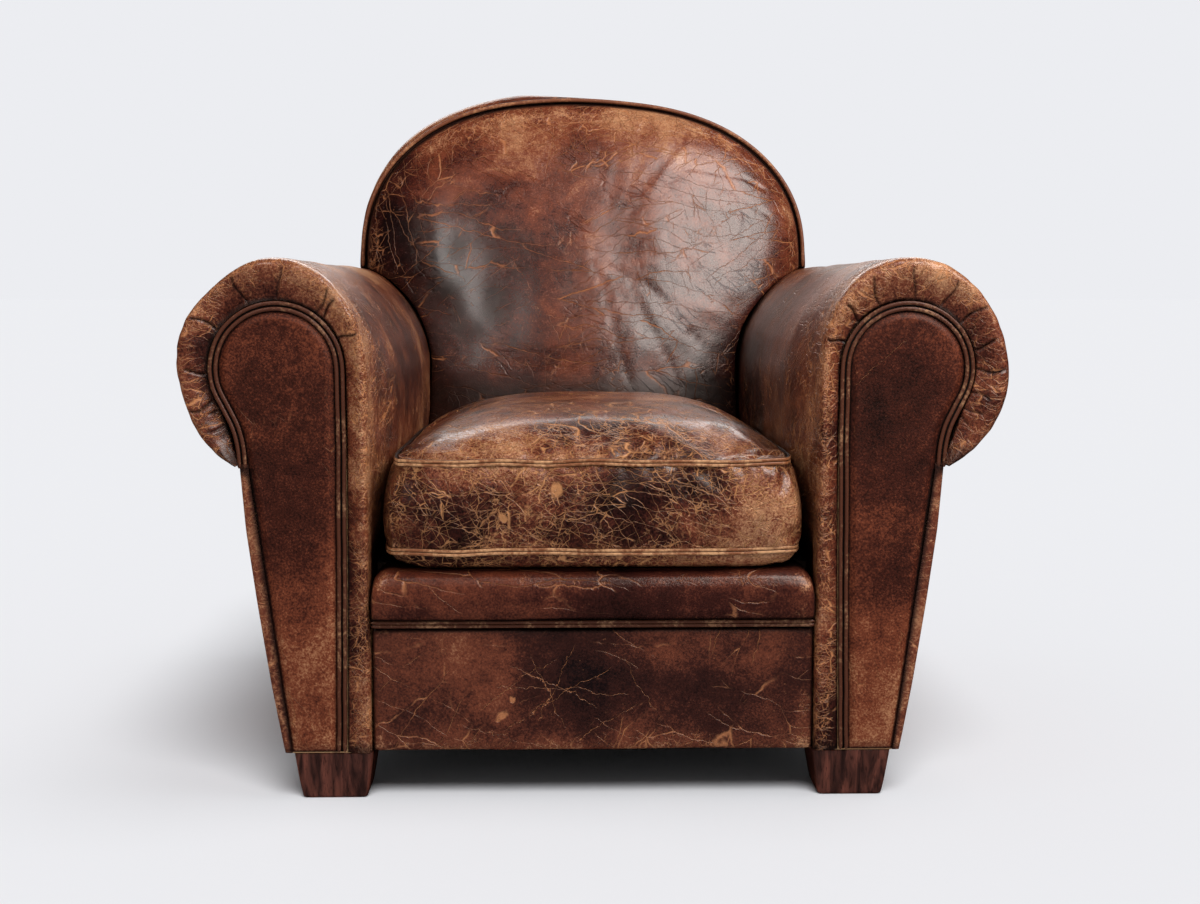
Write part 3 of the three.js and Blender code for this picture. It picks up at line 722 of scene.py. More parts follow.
@dataclass(frozen=True)
class Cord:
    """Leather wrapped round a cord: rubbed outside, painted near black underneath as the shade where it meets
    the surface.
    """

    name: str
    dark: str = "0c0504"
    brown: str = "4f2a1b"
    tan: str = "99704f"
    rub: float = 0.5

    def material(self) -> bpy.types.Material:
        """The cord's material."""
        b = Bench(self.name)
        front = b.mark("front")
        patch = b.noise(26.0, 4.0, 0.6)
        grain = b.noise(260.0, 3.0, 0.6)
        rubbed = (patch * 0.55 + grain * 0.45).rise(0.60 - 0.2 * self.rub, 0.74 - 0.1 * self.rub)
        colour = b.mix(tint(self.brown), tint(self.tan), rubbed * front.rise(0.1, 0.85))
        # Painted shade: the side of the cord towards the surface turns to the dark colour.
        colour = b.mix(tint(self.dark), colour, front.rise(0.1, 0.8))
        normal = b.relief(patch * 0.4 + grain * 0.6, 0.0008)
        rough = rubbed * 0.2 + 0.42
        return b.finish(Base_Color=colour, Roughness=rough, Normal=normal, Specular_IOR_Level=0.3)


@dataclass(frozen=True)
class Wood:
    """Wood with its grain along one axis, stained or bare."""

    name: str
    dark: str
    light: str
    rough: float = 0.4
    coat: float = 0.0
    axis: str = "z"

    def material(self) -> bpy.types.Material:
        """The wood's material: drawn-out noise for the grain, finer for the pores."""
        b = Bench(self.name)
        long, thin = 0.16, 0.012
        scale = {"x": (long, thin, thin), "y": (thin, long, thin), "z": (thin, thin, long)}[self.axis]
        where = b.turned((0, 0, 0), scale)
        grain = b.noise(1.0, 5.0, 0.6, where=where, bend=0.7)
        pores = b.noise(7.0, 2.0, 0.6, where=where)
        colour = b.mix(tint(self.dark), tint(self.light), grain.rise(0.36, 0.66))
        colour = b.times(colour, (0.35, 0.3, 0.28, 1.0), pores.rise(0.56, 0.68) * 0.8)
        normal = b.relief(grain * 0.4 - pores * 0.6 + 0.6, 0.0006)
        rough = grain * 0.15 + (self.rough - 0.07)
        return b.finish(Base_Color=colour, Roughness=rough, Normal=normal, Coat_Weight=self.coat)


@dataclass(frozen=True)
class Weave:
    """A plain woven cloth: threads over and under, so many to the metre."""

    name: str
    thread: str
    gap: str
    pitch: float = 0.0016
    depth: float = 0.0006

    def material(self) -> bpy.types.Material:
        """The cloth's material: the product of two sines is up where a warp thread is on top."""
        b = Bench(self.name)
        x, y, z = b.axes()
        turns = 2 * math.pi / self.pitch
        over = x.math("SINE", x * turns) * y.math("SINE", (y + z) * turns)
        slub = b.noise(150.0, 3.0, 0.6)
        height = over * 0.5 + 0.5
        colour = b.mix(tint(self.gap), tint(self.thread), height.rise(0.1, 0.6))
        colour = b.times(colour, (0.6, 0.58, 0.55, 1.0), slub.rise(0.45, 0.65) * 0.6)
        normal = b.relief(height * 0.7 + slub * 0.3, self.depth)
        return b.finish(Base_Color=colour, Roughness=slub * 0.1 + 0.85, Normal=normal)


@dataclass(frozen=True)
class Steel:
    """Plain spring steel and bolts, dulled by age."""

    name: str = "old_steel"

    def material(self) -> bpy.types.Material:
        """The steel's material: brown bloom in patches over grey metal."""
        b = Bench(self.name)
        bloom = b.noise(60.0, 5.0, 0.65).rise(0.48, 0.7)
        colour = b.mix(tint("8b8d90"), tint("5a3a28"), bloom)
        normal = b.relief(b.noise(400.0, 3.0), 0.0003)
        metal, rough = 0.9 - bloom * 0.7, bloom * 0.4 + 0.35
        return b.finish(Base_Color=colour, Metallic=metal, Roughness=rough, Normal=normal)


# ---------------------------------------------------------------- the leaning back and the arms' lines
@dataclass(frozen=True)
class Recline:
    """The leaning frame of the back: x, depth in front of its rear plane, and height up that plane."""

    y: float = 0.352
    z: float = 0.053
    lean: float = math.radians(6.0)

    def place(self, x: Array, depth: Array, height: Array) -> Array:
        """Points of the back's frame in the chair: turned by the lean about the foot of the plane."""
        y = height * math.sin(self.lean) - depth * math.cos(self.lean) + self.y
        z = height * math.cos(self.lean) + depth * math.sin(self.lean) + self.z
        return np.stack(np.broadcast_arrays(x, y, z), axis=-1)

    def rear(self, z: Array, before: float = 0.0) -> Array:
        """Y of a plane that lies in front of the rear plane by a distance along Y, by height."""
        return self.y + (z - self.z) * math.tan(self.lean) - before


RECLINE = Recline()


@dataclass(frozen=True)
class ArmShape:
    """The lines of one arm in the XZ plane, drawn for the right side."""

    roll: tuple[float, float] = (0.3465, 0.4785)
    half: tuple[float, float] = (0.102, 0.117)
    power: float = 2.04
    bulb: tuple[float, float] = (0.341, 0.475)
    bulb_radius: float = 0.068
    stuffing: float = 0.020

    def swell(self, x: Array, y: Array, z: Array) -> Array:
        """How far the stuffing pushes the seat side inwards: most at mid height, none at the front."""
        up = smooth(0.256, 0.400, z) * smooth(0.592, 0.450, z)
        return self.stuffing * up * smooth(-0.440, -0.290, y) * smooth(0.330, 0.250, x)

    def welt(self) -> Array:
        """The line of the double welt: up the inner edge, round the head and down to the notch."""
        turn = np.radians(np.linspace(180, -34, 108))
        head = np.array(self.bulb) + self.bulb_radius * np.stack([np.cos(turn), np.sin(turn)], axis=1)
        foot = [(0.276, FRAME_BASE + 0.0008), (0.2736, 0.240), (0.2724, 0.400)]
        tail = [(0.385, 0.412), (0.3804, 0.393), (0.379, 0.368)]
        return softened(np.concatenate([foot, head, tail]), 320, 16)

    def inner_side(self, y: Array, z: Array) -> Array:
        """Where the seat side of the arm is at a height, so that the back can lie against it."""
        up = np.clip((z - self.roll[1]) / self.half[1], 0.0, 1.0)
        left = self.roll[0] - self.half[0] * (1 - up**self.power) ** (1 / self.power)
        clear = np.where(z > self.roll[1] + self.half[1], 0.2, 0.0)
        wall = np.where(z < self.roll[1], SEAT_HALF, 9.0)
        return np.minimum(left, wall) - self.swell(left, y, z) + clear


ARM = ArmShape()


def ride(piece: bpy.types.Object, slot: str, *nodes: str) -> bpy.types.Object:
    """Puts a piece on the one body and hides the imported nodes that it stands for."""
    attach(piece, "root")
    if nodes:
        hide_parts(*nodes)
    log.info("%-24s %7d faces", piece.name, len(piece.data.polygons))
    return piece


# ---------------------------------------------------------------- one arm
class Side(Enum):
    """Which arm, as seen from the front."""

    RIGHT = 1
    LEFT = -1


PLEATS = {
    Side.RIGHT: (159, 136, 114, 87, 62, 40, 17, -1, -21, -33, -42),
    Side.LEFT: (155, 132, 125, 93, 66, 33, -2, -27, -36, -45),
}  # where the gathers lie round each head, in degrees up from level
WELT_CORDS = (
    (-0.0031, 0.0024, 0.0),
    (0.0031, 0.0024, 0.0),
    (0.0, 0.0036, 0.0030),
)  # the double welt's cords, then its tape: how far aside, radius, and how far behind


@dataclass
class Arm:
    """A stuffed arm: its cover, the facing with its double welt, and the outer panel."""

    side: Side
    cover: bpy.types.Material
    facing: bpy.types.Material
    welt: bpy.types.Material
    outer: bpy.types.Material
    pleat_depth: float = 0.0026
    front_edge: float = -0.425
    skin_rows: int = 104
    ring_rows: int = 26
    wall_rows: int = 91
    panel_columns: int = 56

    @property
    def hand(self) -> str:
        """The name of the side."""
        return self.side.name.lower()

    def placed(self, surface: Surface) -> Surface:
        """The surface on its own side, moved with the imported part."""
        return surface.mirrored(self.side.value).in_place()

    def lines(self) -> tuple[Array, Array]:
        """The outer outline of the cover and the line under the welt, station by station.

        Both go up the seat side at equal heights, then round the head in quarters.
        """
        head = ARM.bulb[1]
        heights = np.concatenate([np.linspace(HEM, 0.1896, 26), np.linspace(0.1908, head, 66)[:-1]])
        inner = offset(ARM.welt(), 0.0062)
        crown = int(np.argmax(inner[:, 1]))
        start = int(np.argmax(inner[:, 1] > head))
        far = int(np.argmax(inner[:, 0]))
        inner[far:] = softened(np.concatenate([inner[far:-30], [(0.3812, 0.3715)]]), len(inner) - far, 4)
        straight = np.stack([np.interp(heights, inner[:start, 1], inner[:start, 0]), heights], axis=1)
        counts = (130, 130, 95)
        cuts = (start, crown, far, len(inner) - 1)
        under = [resample(inner[a : b + 1], n + 1)[:-1] for a, b, n in zip(cuts, cuts[1:], counts)]
        wall = np.stack([np.full_like(heights, SEAT_HALF), heights], axis=1)
        angles = (178.0, 90.0, 0.0, -68.5)
        skin = [
            resample(superellipse(ARM.roll, ARM.half, ARM.power, np.linspace(a, b, 200)), n + 1)[:-1]
            for a, b, n in zip(angles, angles[1:], counts)
        ]
        return np.concatenate([wall, *skin]), np.concatenate([straight, *under])

    def cover_surface(self) -> Surface:
        """The cover: a hook-shaped outline carried along the arm, over the front edge and in to the welt.

        Each station is a loop: forward along the skin, over the rounded front edge in a ring that closes
        in on the welt line, back along the hidden side, and round the rear edge.
        """
        skin, under = self.lines()
        z = skin[:, 1:]
        plane = RECLINE.rear(z, 0.0070)
        back = np.minimum(0.318 + 0.070 * smooth(0.355, 0.42, z), plane)
        back = np.where((skin[:, :1] > 0.36) & (z < 0.44), np.minimum(ROLL_REAR, plane), back)
        back = np.where(z < 0.190, -0.4098, back)
        edge = self.front_edge
        t = np.linspace(0, 1, self.skin_rows)
        reach_back = np.maximum(back - 0.012, edge + 0.002)
        y_skin = edge + (reach_back - edge) * (1 - t) ** 1.2
        q = np.linspace(0, 1, self.ring_rows)[1:]
        proud = np.where(skin[:, :1] < 0.26, 0.0095 + 0.006 * smooth(0.19, 0.33, z), 0.0155)
        y_ring = edge - 0.0043 * q**2 - proud * np.sin(np.pi * q**0.75)
        w = np.linspace(0, 1, 7)
        y_hidden = edge - 0.0036 + (back - edge + 0.0036) * w
        y_rear = back - np.array([0.0, 0.002, 0.006])
        y = np.concatenate([y_skin, y_ring, y_hidden, y_rear], axis=1)
        s = np.concatenate([0 * t, q**1.6, 0 * w + 1, [0.45, 0.12, 0.03]])
        flat = skin[:, None] + (under - skin)[:, None] * s[:, None]
        points = np.stack([flat[..., 0], y, flat[..., 1]], axis=-1)
        hidden = slice(len(t) + len(q), len(t) + len(q) + len(w))
        wall = slice(self.wall_rows)
        points[wall, hidden, 0] = np.minimum(points[wall, hidden, 0], 0.2664)
        points[..., 0] -= ARM.swell(points[..., 0], points[..., 1], points[..., 2]) * (1 - s)
        groove = self.grooves(points, s)
        marks = self.cover_marks(points, np.broadcast_to(s, y.shape), groove)
        made = self.placed(lofted(points, marks))
        seed = 40 + 10 * self.side.value
        away = (np.broadcast_to((s < 0.95) * 1.0, y.shape) * smooth(HEM, 0.09, points[..., 2])).ravel()
        p = made.points
        ripple = cloud(p * (1.0, 0.3, 1.0), 0.010, seed + 5) * smooth(-0.39, -0.43, p[:, 1]) * 0.0006
        fold = dents(p, (0.12, 0.0018, seed), (0.04, 0.0006, seed + 1)) + ripple
        return made.push(away * (fold + self.lean(points).ravel() - groove.ravel() * self.pleat_depth))

    def lean(self, points: Array) -> Array:
        """Where the stuffing has sunk at the outer shoulder, and how it bulges below on each side."""
        around = np.degrees(np.arctan2(points[..., 0] - ARM.roll[0], points[..., 2] - ARM.roll[1]))
        head = points[..., 2] > 0.36
        low, shoulder = (0.0042, 0.0028) if self.side is Side.RIGHT else (-0.0030, 0.0078)
        return head * (low * bell(around - 112, 30) - shoulder * bell(around - 33, 26))

    def grooves(self, points: Array, s: Array) -> Array:
        """The gathers round the head: narrow valleys across the ring at set angles, fading over the edge."""
        dx, dz = points[..., 0] - ARM.bulb[0], points[..., 2] - ARM.bulb[1]
        around, far = np.arctan2(dz, dx), np.hypot(dx, dz)
        on_ring = smooth(1.0, 0.93, s) * (points[..., 2] > 0.37)
        groove = np.zeros(around.shape)
        for k, angle in enumerate(PLEATS[self.side]):
            bend = math.radians(angle) + 0.03 * np.sin(5.0 * s + 2.1 * k)
            start = 0.04 + 0.30 * math.sin(1.7 * k + 0.4) ** 2 + 0.3 * (angle < -30)
            valley = bell((around - bend) * far, 0.0014) * smooth(start, start + 0.12, s)
            groove = np.maximum(groove, valley * (0.8 + 0.2 * math.cos(k)))
        return groove * on_ring

    def cover_marks(self, p: Array, s: Array, groove: Array) -> dict[str, Array]:
        """Wear along the front edge and the crest; dirt with painted shade by the welt, the seat, the back
        and the notch, darker down by the hem; painted shade in the pleats.
        """
        x, y, z = p[..., 0], p[..., 1], p[..., 2]
        border = smooth(-0.36, self.front_edge, y) * smooth(0.95, 0.35, s)
        seat_side = smooth(0.31, 0.27, x)
        skin = s < 0.5
        edge = border * (0.20 + 0.26 * seat_side + 0.14 * smooth(0.5, 0.58, z))
        edge = edge + 0.16 * smooth(0.565, 0.592, z) * skin
        edge = edge + 0.10 * seat_side * smooth(-0.18, -0.38, y) * smooth(0.26, 0.34, z) * skin
        # Painted shade, with some dirt: darker where the cover turns in to the welt, beside the seat and the
        # back, under the notch, and down by the hem.
        beside = smooth(0.88, 1.0, s) * 0.95
        seat = smooth(0.315, 0.262, z) * (y > -0.41) * (x < 0.26)
        back = smooth(0.10, 0.24, y) * smooth(0.585, 0.53, z) * (x < 0.31) * 0.9
        notch = smooth(0.41, 0.372, z) * (x > 0.36) * 0.7
        foot = smooth(0.075, HEM, z) * 0.7
        # The pleat mark is painted shade in the bottoms of the gathers.
        return wear(edge, np.maximum.reduce([beside, seat, back, notch, foot]), groove**0.7 * 0.9)

    def filled(
        self,
        aside: float,
        foot: Sequence[tuple[float, float]],
        rows: int,
    ) -> tuple[Array, Array, Array]:
        """Rows from side to side of the welt line's outline.

        Args:
            aside: how far outside the welt line the outline runs.
            foot: the lowest points of its outer side, upwards.
            rows: how many rows.

        Returns:
            x and z of the grid, and how far each of its points is from the outline.
        """
        line = offset(ARM.welt(), aside)
        top = int(np.argmax(line[:, 1]))
        right = np.concatenate([foot, line[top:][::-1]])
        low, high = foot[0][1], line[top, 1] - 0.0004
        z = low + (high - low) * np.sin(np.linspace(0, 1, rows) * np.pi / 2)[:, None]
        start = np.interp(z, line[: top + 1, 1], line[: top + 1, 0])
        end = np.interp(z, np.maximum.accumulate(right[:, 1]), right[:, 0])
        across = np.linspace(0, 1, self.panel_columns)[None, :]
        x = start + (end - start) * across**2 * (3 - 2 * across)
        z = z + 0 * x
        kept = line[: top + 1][line[: top + 1, 1] >= low]
        outline = resample(np.concatenate([kept, right[::-1], kept[:1]]), 500)
        apart = np.hypot(x.reshape(-1, 1) - outline[:, 0], z.reshape(-1, 1) - outline[:, 1])
        return x, z, apart.min(axis=1).reshape(x.shape)

    def facing_surface(self) -> Surface:
        """The facing: softly crowned, its rim tucked under the welt."""
        x, z, gap = self.filled(-0.0046, [(0.3308, FRAME_BASE + 0.0008), (0.3718, 0.363)], 190)
        front = np.stack([x, FRONT + 0.0036 - 0.0042 * smooth(0.0, 0.010, gap), z], axis=-1)
        back = np.stack([x, 0 * x + FRONT + 0.0051, z], axis=-1)
        made = self.placed(cased(front, back, self.rim_marks(gap, z)))
        lift = smooth(0.004, 0.02, gap).ravel()
        p = made.points
        fold = dents(p, (0.09, 0.0010, 77 + self.side.value), (0.03, 0.0004, 79))
        return made.push(fold * np.concatenate([lift, 0 * lift]))

    def rear_end(self) -> Surface:
        """The plain leather that closes the rear end of the roll, nearly flat."""
        x, z, gap = self.filled(0.0056, [(0.3806, 0.3740), (0.3812, 0.3800)], 90)
        rear = np.minimum(ROLL_REAR, RECLINE.rear(z, 0.0074))
        dome = 0.0030 * smooth(0.0, 0.014, gap) * smooth(0.338, 0.346, x)
        inside = np.stack([x, rear - 0.004, z], axis=-1)
        outside = np.stack([x, rear + dome, z], axis=-1)
        return self.placed(cased(inside, outside, self.rim_marks(gap, z)))

    def rim_marks(self, gap: Array, z: Array) -> dict[str, Array]:
        """Dirt with painted shade along a panel's border seam, and rubbing just inside it and low down."""
        # Painted shade, with some dirt, along the border where it meets the welt.
        soil = smooth(0.0050, 0.0005, gap) * 0.95
        edge = bell(gap - 0.008, 0.004) * 0.22 + 0.20 * smooth(0.16, 0.06, z)
        return wear(*(np.tile(mark.ravel(), 2) for mark in (edge, soil)))

    def welt_surface(self) -> Surface:
        """The double welt: two cords side by side along the welt line, on a tape that joins them, painted
        dark as the shade in the groove between them.
        """
        depth = FRONT + 0.0023
        cords = []
        for aside, radius, behind in WELT_CORDS:
            line = softened(offset(ARM.welt(), aside), 380, 2)
            x, z = line.T
            wander = 0.0003 * cloud(np.stack([x, z, 0 * x + aside], axis=1), 0.02, 83)
            path = np.stack([x + wander, np.full(len(line), depth + behind), z], axis=1)
            cords.append(tube(path, radius, (0, -1, 0), 10))
        # The tape takes the cord's dark underside colour all over: painted shade in the groove between the
        # cords.
        cords[-1].marks["front"] = cords[-1].marks["front"] * 0.0
        return self.placed(joined(cords))

    def outer_surface(self) -> Surface:
        """The outer panel: an L-shaped loop round its front edge, side and rear return, at each height."""
        side = [(0.3828, 0.3728), (0.377, 0.300), (0.3662, 0.2195), (0.3526, 0.130), (0.3418, 0.070)]
        line = softened(np.array([*side, (0.3386, HEM)]), 72, 3)[::-1]
        z = line[:, 1][:, None]
        xo = line[:, 0][:, None]
        xi = np.interp(z, [HEM, 0.3625], [0.3306, 0.3724])
        yf, yr, r = -0.4322, RECLINE.rear(z, 0.0071), 0.0042
        turn = np.linspace(0, np.pi / 2, 6)
        along = np.linspace(0, 1, 110)[1:-1]
        ret = np.minimum(0.336, xi - 0.001)
        loop = [
            (xi + 0 * turn[:2], np.broadcast_to([-0.4292, yf], (len(z), 2))),
            (xo - r + r * np.sin(turn), yf + r - r * np.cos(turn) + 0 * z),
            (xo + 0 * along, yf + r + (yr - yf - 2 * r) * along),
            (xo - r + r * np.cos(turn), yr - r + r * np.sin(turn)),
            (xi, yr),
            (ret, yr),
            (ret, yr - 0.013),
            (xi, yr - 0.013),
            (xi, yr - 0.10),
            (xi, 0 * z),
            (xi, 0 * z - 0.2),
        ]
        x, y = (np.concatenate(parts, axis=1) for parts in zip(*loop))
        points = np.stack([x, y, np.broadcast_to(z, x.shape)], axis=-1)
        out = (x > xo - 0.001) & (y > -0.42)
        deep = np.sin(np.pi * np.clip((y + 0.43) / 0.82, 0, 1)) ** 0.5
        puff = 0.0035 * deep * np.sin(np.pi * (z - HEM) / 0.312) ** 0.7
        points[..., 0] += np.where(out, puff, 0)
        # Painted shade: the hidden inside faces go near black and the top darkens under the roll's edge; it
        # also darkens down by the hem.
        hidden = (x < xi + 0.002) * (y < yr - 0.012) * 0.9
        high, low = smooth(0.350, 0.370, z) + 0 * x, smooth(0.07, HEM, z) * 0.6 + 0 * x
        soil = np.maximum.reduce([high, low, hidden])
        edge = smooth(-0.41, -0.431, y) * 0.55 + smooth(0.12, 0.06, z) * 0.3 * out
        made = self.placed(lofted(points, wear(edge, soil)))
        return made.push(dents(made.points, (0.12, 0.0018, 90), (0.035, 0.0007, 91)) * out.ravel())

    def build(self) -> None:
        """Makes the arm's pieces and dresses them."""
        cover = joined([self.cover_surface(), self.rear_end()]).piece(f"arm_cover_{self.hand}", self.cover)
        ride(cover, "body_leather", f"arm_pad_{self.hand}")
        facing = self.facing_surface().piece(f"facing_panel_{self.hand}", self.facing)
        ride(facing, "facing_leather", f"arm_facing_{self.hand}")
        welt = self.welt_surface().piece(f"facing_welt_{self.hand}", self.welt)
        ride(welt, "welt_leather", f"arm_welt_{self.hand}")
        outer = self.outer_surface().piece(f"outer_panel_{self.hand}", self.outer)
        ride(outer, "body_leather", f"outer_arm_{self.hand}")


# ---------------------------------------------------------------- the back
FOLDS = (  # the folds of the back pad: half width, and the points of each line
    (0.0034, ((0.012, 0.613), (0.063, 0.632), (0.128, 0.656))),
    (0.0032, ((0.015, 0.605), (0.034, 0.547), (0.051, 0.490), (0.063, 0.432))),
    (0.0030, ((0.063, 0.576), (0.092, 0.518), (0.121, 0.460), (0.135, 0.424))),
    (0.0028, ((0.030, 0.600), (0.092, 0.569), (0.121, 0.533), (0.164, 0.490))),
    (0.0028, ((0.128, 0.656), (0.121, 0.634), (0.157, 0.591))),
    (0.0026, ((0.229, 0.707), (0.237, 0.670), (0.229, 0.634))),
    (0.0028, ((0.164, 0.728), (0.222, 0.707), (0.273, 0.670))),
    (0.0026, ((0.157, 0.743), (0.237, 0.728), (0.273, 0.707))),
    (0.0026, ((0.145, 0.690), (0.200, 0.676), (0.215, 0.650))),
)


@dataclass
class Back:
    """The leaning back: stuffed pad, its welt, the border band and the plain outer panel."""

    cover: bpy.types.Material
    band: bpy.types.Material
    welt: bpy.types.Material
    outer: bpy.types.Material
    half: float = 0.337
    spring: float = 0.547
    rise: float = 0.252
    power: float = 2.38
    seam: float = 0.096
    crown: float = 0.172
    centre: float = 0.330
    foot: float = 0.120
    puffed: float = 0.0100
    pad_grid: int = 196
    panel_grid: int = 110
    band_foot: float = 0.538
    panel_centre: float = 0.40

    def arch(self, foot: float, inset: float, count: int, raised: float = 0.0) -> Array:
        """The arched outline: upright sides that draw in a little downwards, under a superellipse.

        Its right shoulder has sunk by some millimetres; its left can be raised.
        """
        half = (self.half - inset, self.rise - inset)
        over = superellipse((0, self.spring), half, self.power, np.linspace(0, 180, 400))
        side = self.half - 0.02 * max(self.spring - foot, 0) - inset
        if foot < self.spring:
            over = np.concatenate([[(side, foot)], over, [(-side, foot)]])
        else:
            over = over[over[:, 1] >= foot]
        x = over[:, 0]
        sunk = 0.0015 + 0.0030 * smooth(-0.20, -0.05, x) + 0.0032 * smooth(-0.03, 0.09, x)
        sunk = sunk - raised * smooth(0.03, -0.11, x)
        over[:, 1] -= sunk * smooth(self.spring + 0.03, self.spring + 0.17, over[:, 1])
        return resample(over, count)

    def pad_surface(self) -> Surface:
        """The pad: an arch filled from its fullest point, full low down, drawn in beside the arms.

        Depth is the seam's plus a crown times the 0.9 power of the root of one less the squared radius.
        """
        t, turn = disc(self.pad_grid)
        r = np.sin(t * np.pi / 2)
        far = reach(self.arch(self.foot, 0.0106, 900), (0.0, self.centre), turn) * r
        x, height = far * np.cos(turn), self.centre + far * np.sin(turn)
        full = 1 - 0.45 * smooth(0.210, 0.800, height)
        depth = self.seam + self.crown * full * np.cos(t * np.pi / 2) ** 0.9
        front = RECLINE.place(x, depth, height)
        edge = rim(*t.shape)
        levels = np.linspace(0.090, 0.058, 5)[:, None]
        walls = RECLINE.place(x.ravel()[edge], levels, height.ravel()[edge])
        back = RECLINE.place(x, 0.0545, height)
        tucked = [self.beside_arms(part) for part in (front, walls, back)]
        close = [np.abs(a[..., 0] - b[..., 0]) for a, b in zip((front, walls, back), tucked)]
        radius = np.concatenate([r.ravel(), np.ones(walls.shape[:2]).ravel(), r.ravel()])
        squeezed = np.concatenate([c.ravel() for c in close])
        z = np.concatenate([part[..., 2].ravel() for part in tucked])
        # Painted shade, with some dirt: darker at the seam, where the arms squeeze the pad and low down by
        # the cushion.
        by_arms, low = smooth(0.0, 0.010, squeezed) * 0.9, smooth(0.47, 0.41, z) * 0.75
        soil = np.maximum.reduce([smooth(0.978, 0.999, radius), by_arms, low])
        rubbed = bell(radius - 0.955, 0.03) * 0.4 * (squeezed < 0.001) + smooth(0.70, 0.82, z) * 0.22
        made = cased(tucked[0], tucked[2], wear(rubbed, soil), tucked[1]).in_place()
        p = made.points
        loose = smooth(1.0, 0.93, radius) * (p[:, 1] < 0.34)
        gathers = self.gathers(p) * 0.0006 - self.pulled(p) * 0.0012
        return made.push((dents(p, (0.16, 0.0042, 11), (0.055, 0.0018, 12)) + gathers) * loose)

    def pulled(self, p: Array) -> Array:
        """The sunk folds of the pad: how near each point is to one of their wandering lines."""
        bent = p[:, [0, 2]] + np.stack([cloud(p, 0.05, 61), cloud(p, 0.05, 62)], axis=1) * 0.0035
        total = np.zeros(len(p))
        for width, line in FOLDS:
            ends = np.array(line)
            for a, b in zip(ends, ends[1:]):
                run = b - a
                along = np.clip(((bent - a) @ run) / (run @ run), 0, 1)
                apart = np.linalg.norm(bent - a - along[:, None] * run, axis=1)
                total = np.maximum(total, bell(apart, width) - 0.30 * bell(apart - 2.6 * width, 1.3 * width))
        return total

    def gathers(self, p: Array) -> Array:
        """Pulls that fan out above a spot at the right of the back: noise in angle, drawn out in radius."""
        dx, dz = p[:, 0] - 0.02, p[:, 2] - 0.617
        around, far = np.arctan2(dz, dx), np.hypot(dx, dz)
        fan = np.stack([around * 0.30, far * 0.30, 0 * far], axis=1)
        where = smooth(0.02, 0.12, far) * smooth(0.30, 0.16, far) * smooth(-0.04, 0.06, dx)
        return cloud(fan, 0.020, 19) * where

    def beside_arms(self, points: Array) -> Array:
        """Points held between the arms: past an arm's side they stay on it, with a soft turn before."""
        x, y, z = points[..., 0], points[..., 1], points[..., 2]
        limit = ARM.inner_side(y, z) - 0.0015
        past = (np.abs(x) - limit) / 0.004
        over = 0.004 * np.where(past > 30, past, np.log1p(np.exp(np.minimum(past, 30))))
        return np.stack([np.sign(x) * (np.abs(x) - over), y, z], axis=-1)

    def welt_surface(self) -> Surface:
        """The welt round the pad: one cord just outside the seam."""
        line = self.arch(self.band_foot, 0.0046, 260)
        path = RECLINE.place(line[:, 0], 0.100, line[:, 1])
        path[:, 1] += LIFT
        out = (0.0, -math.cos(RECLINE.lean), math.sin(RECLINE.lean))
        return tube(path, 0.0032, out, 10)

    def band_surface(self) -> Surface:
        """The border band: a thin loop from the seam to the rear plane, a little proud half way."""
        outer, inner = self.arch(self.band_foot, 0.0, 240), self.arch(self.band_foot, 0.009, 240)
        shown, hidden = 16, 6
        depth = np.concatenate([np.linspace(0.0949, 0.0072, shown), np.linspace(0.0072, 0.0949, hidden)])
        inward = np.concatenate([np.zeros(shown), np.ones(hidden)])
        ease = np.sin(np.pi * np.linspace(0, 1, shown))
        inward[:shown] -= 0.17 * ease
        inward[[0, shown - 1]] = 0.25
        tall = self.arch(self.band_foot, 0.0, 240, self.puffed) - outer
        puff, held = bell(depth - 0.070, 0.018) + 0.15, smooth(0.0950, 0.088, depth)
        line = outer[:, None] + (inner - outer)[:, None] * inward[None, :, None]
        line = line + tall[:, None] * puff[None, :, None] * held[None, :, None]
        across = np.broadcast_to(depth, line.shape[:2])
        # Painted shade, with some dirt: darker at the seam by the welt and at the rear edge.
        soil = smooth(0.089, 0.095, across) * 0.8 + smooth(0.012, 0.007, across) * 0.8
        edge = bell(across - 0.084, 0.008) * 0.5
        made = lofted(RECLINE.place(line[..., 0], across, line[..., 1]), wear(edge, soil)).in_place()
        outside = np.broadcast_to(inward, across.shape).ravel() < 0.5
        return made.push(dents(made.points, (0.03, 0.0006, 23), (0.1, 0.0008, 24)) * outside)

    def outer_surface(self) -> Surface:
        """The outer back: a plain arched panel, barely padded, its border eased over."""
        t, turn = disc(self.panel_grid)
        r = np.sin(t * np.pi / 2) ** 0.8
        arch = self.arch(0.003, 0.0, 900, self.puffed * 0.15)
        far = reach(arch, (0.0, self.panel_centre), turn) * r
        x, height = far * np.cos(turn), self.panel_centre + far * np.sin(turn)
        rear = RECLINE.place(x, 0.0022 - 0.0052 * smooth(0.0, 0.16, 1 - r) - 0.0010, height)
        front = RECLINE.place(x, 0.0062, height)
        z = rear[..., 2]
        # Painted shade, with some dirt: darker at the border seam, and darker down by the floor.
        soil = np.maximum(smooth(0.985, 1.0, r), smooth(0.075, 0.056, z) * 0.6)
        edge = bell(r - 0.97, 0.02) * 0.5 + smooth(0.12, 0.06, z) * 0.3
        made = cased(front, rear, wear(*(np.tile(mark.ravel(), 2) for mark in (edge, soil)))).in_place()
        loose = np.concatenate([0 * r.ravel(), smooth(1.0, 0.9, r).ravel()])
        return made.push(loose * dents(made.points, (0.15, 0.0022, 31), (0.05, 0.0008, 32)))

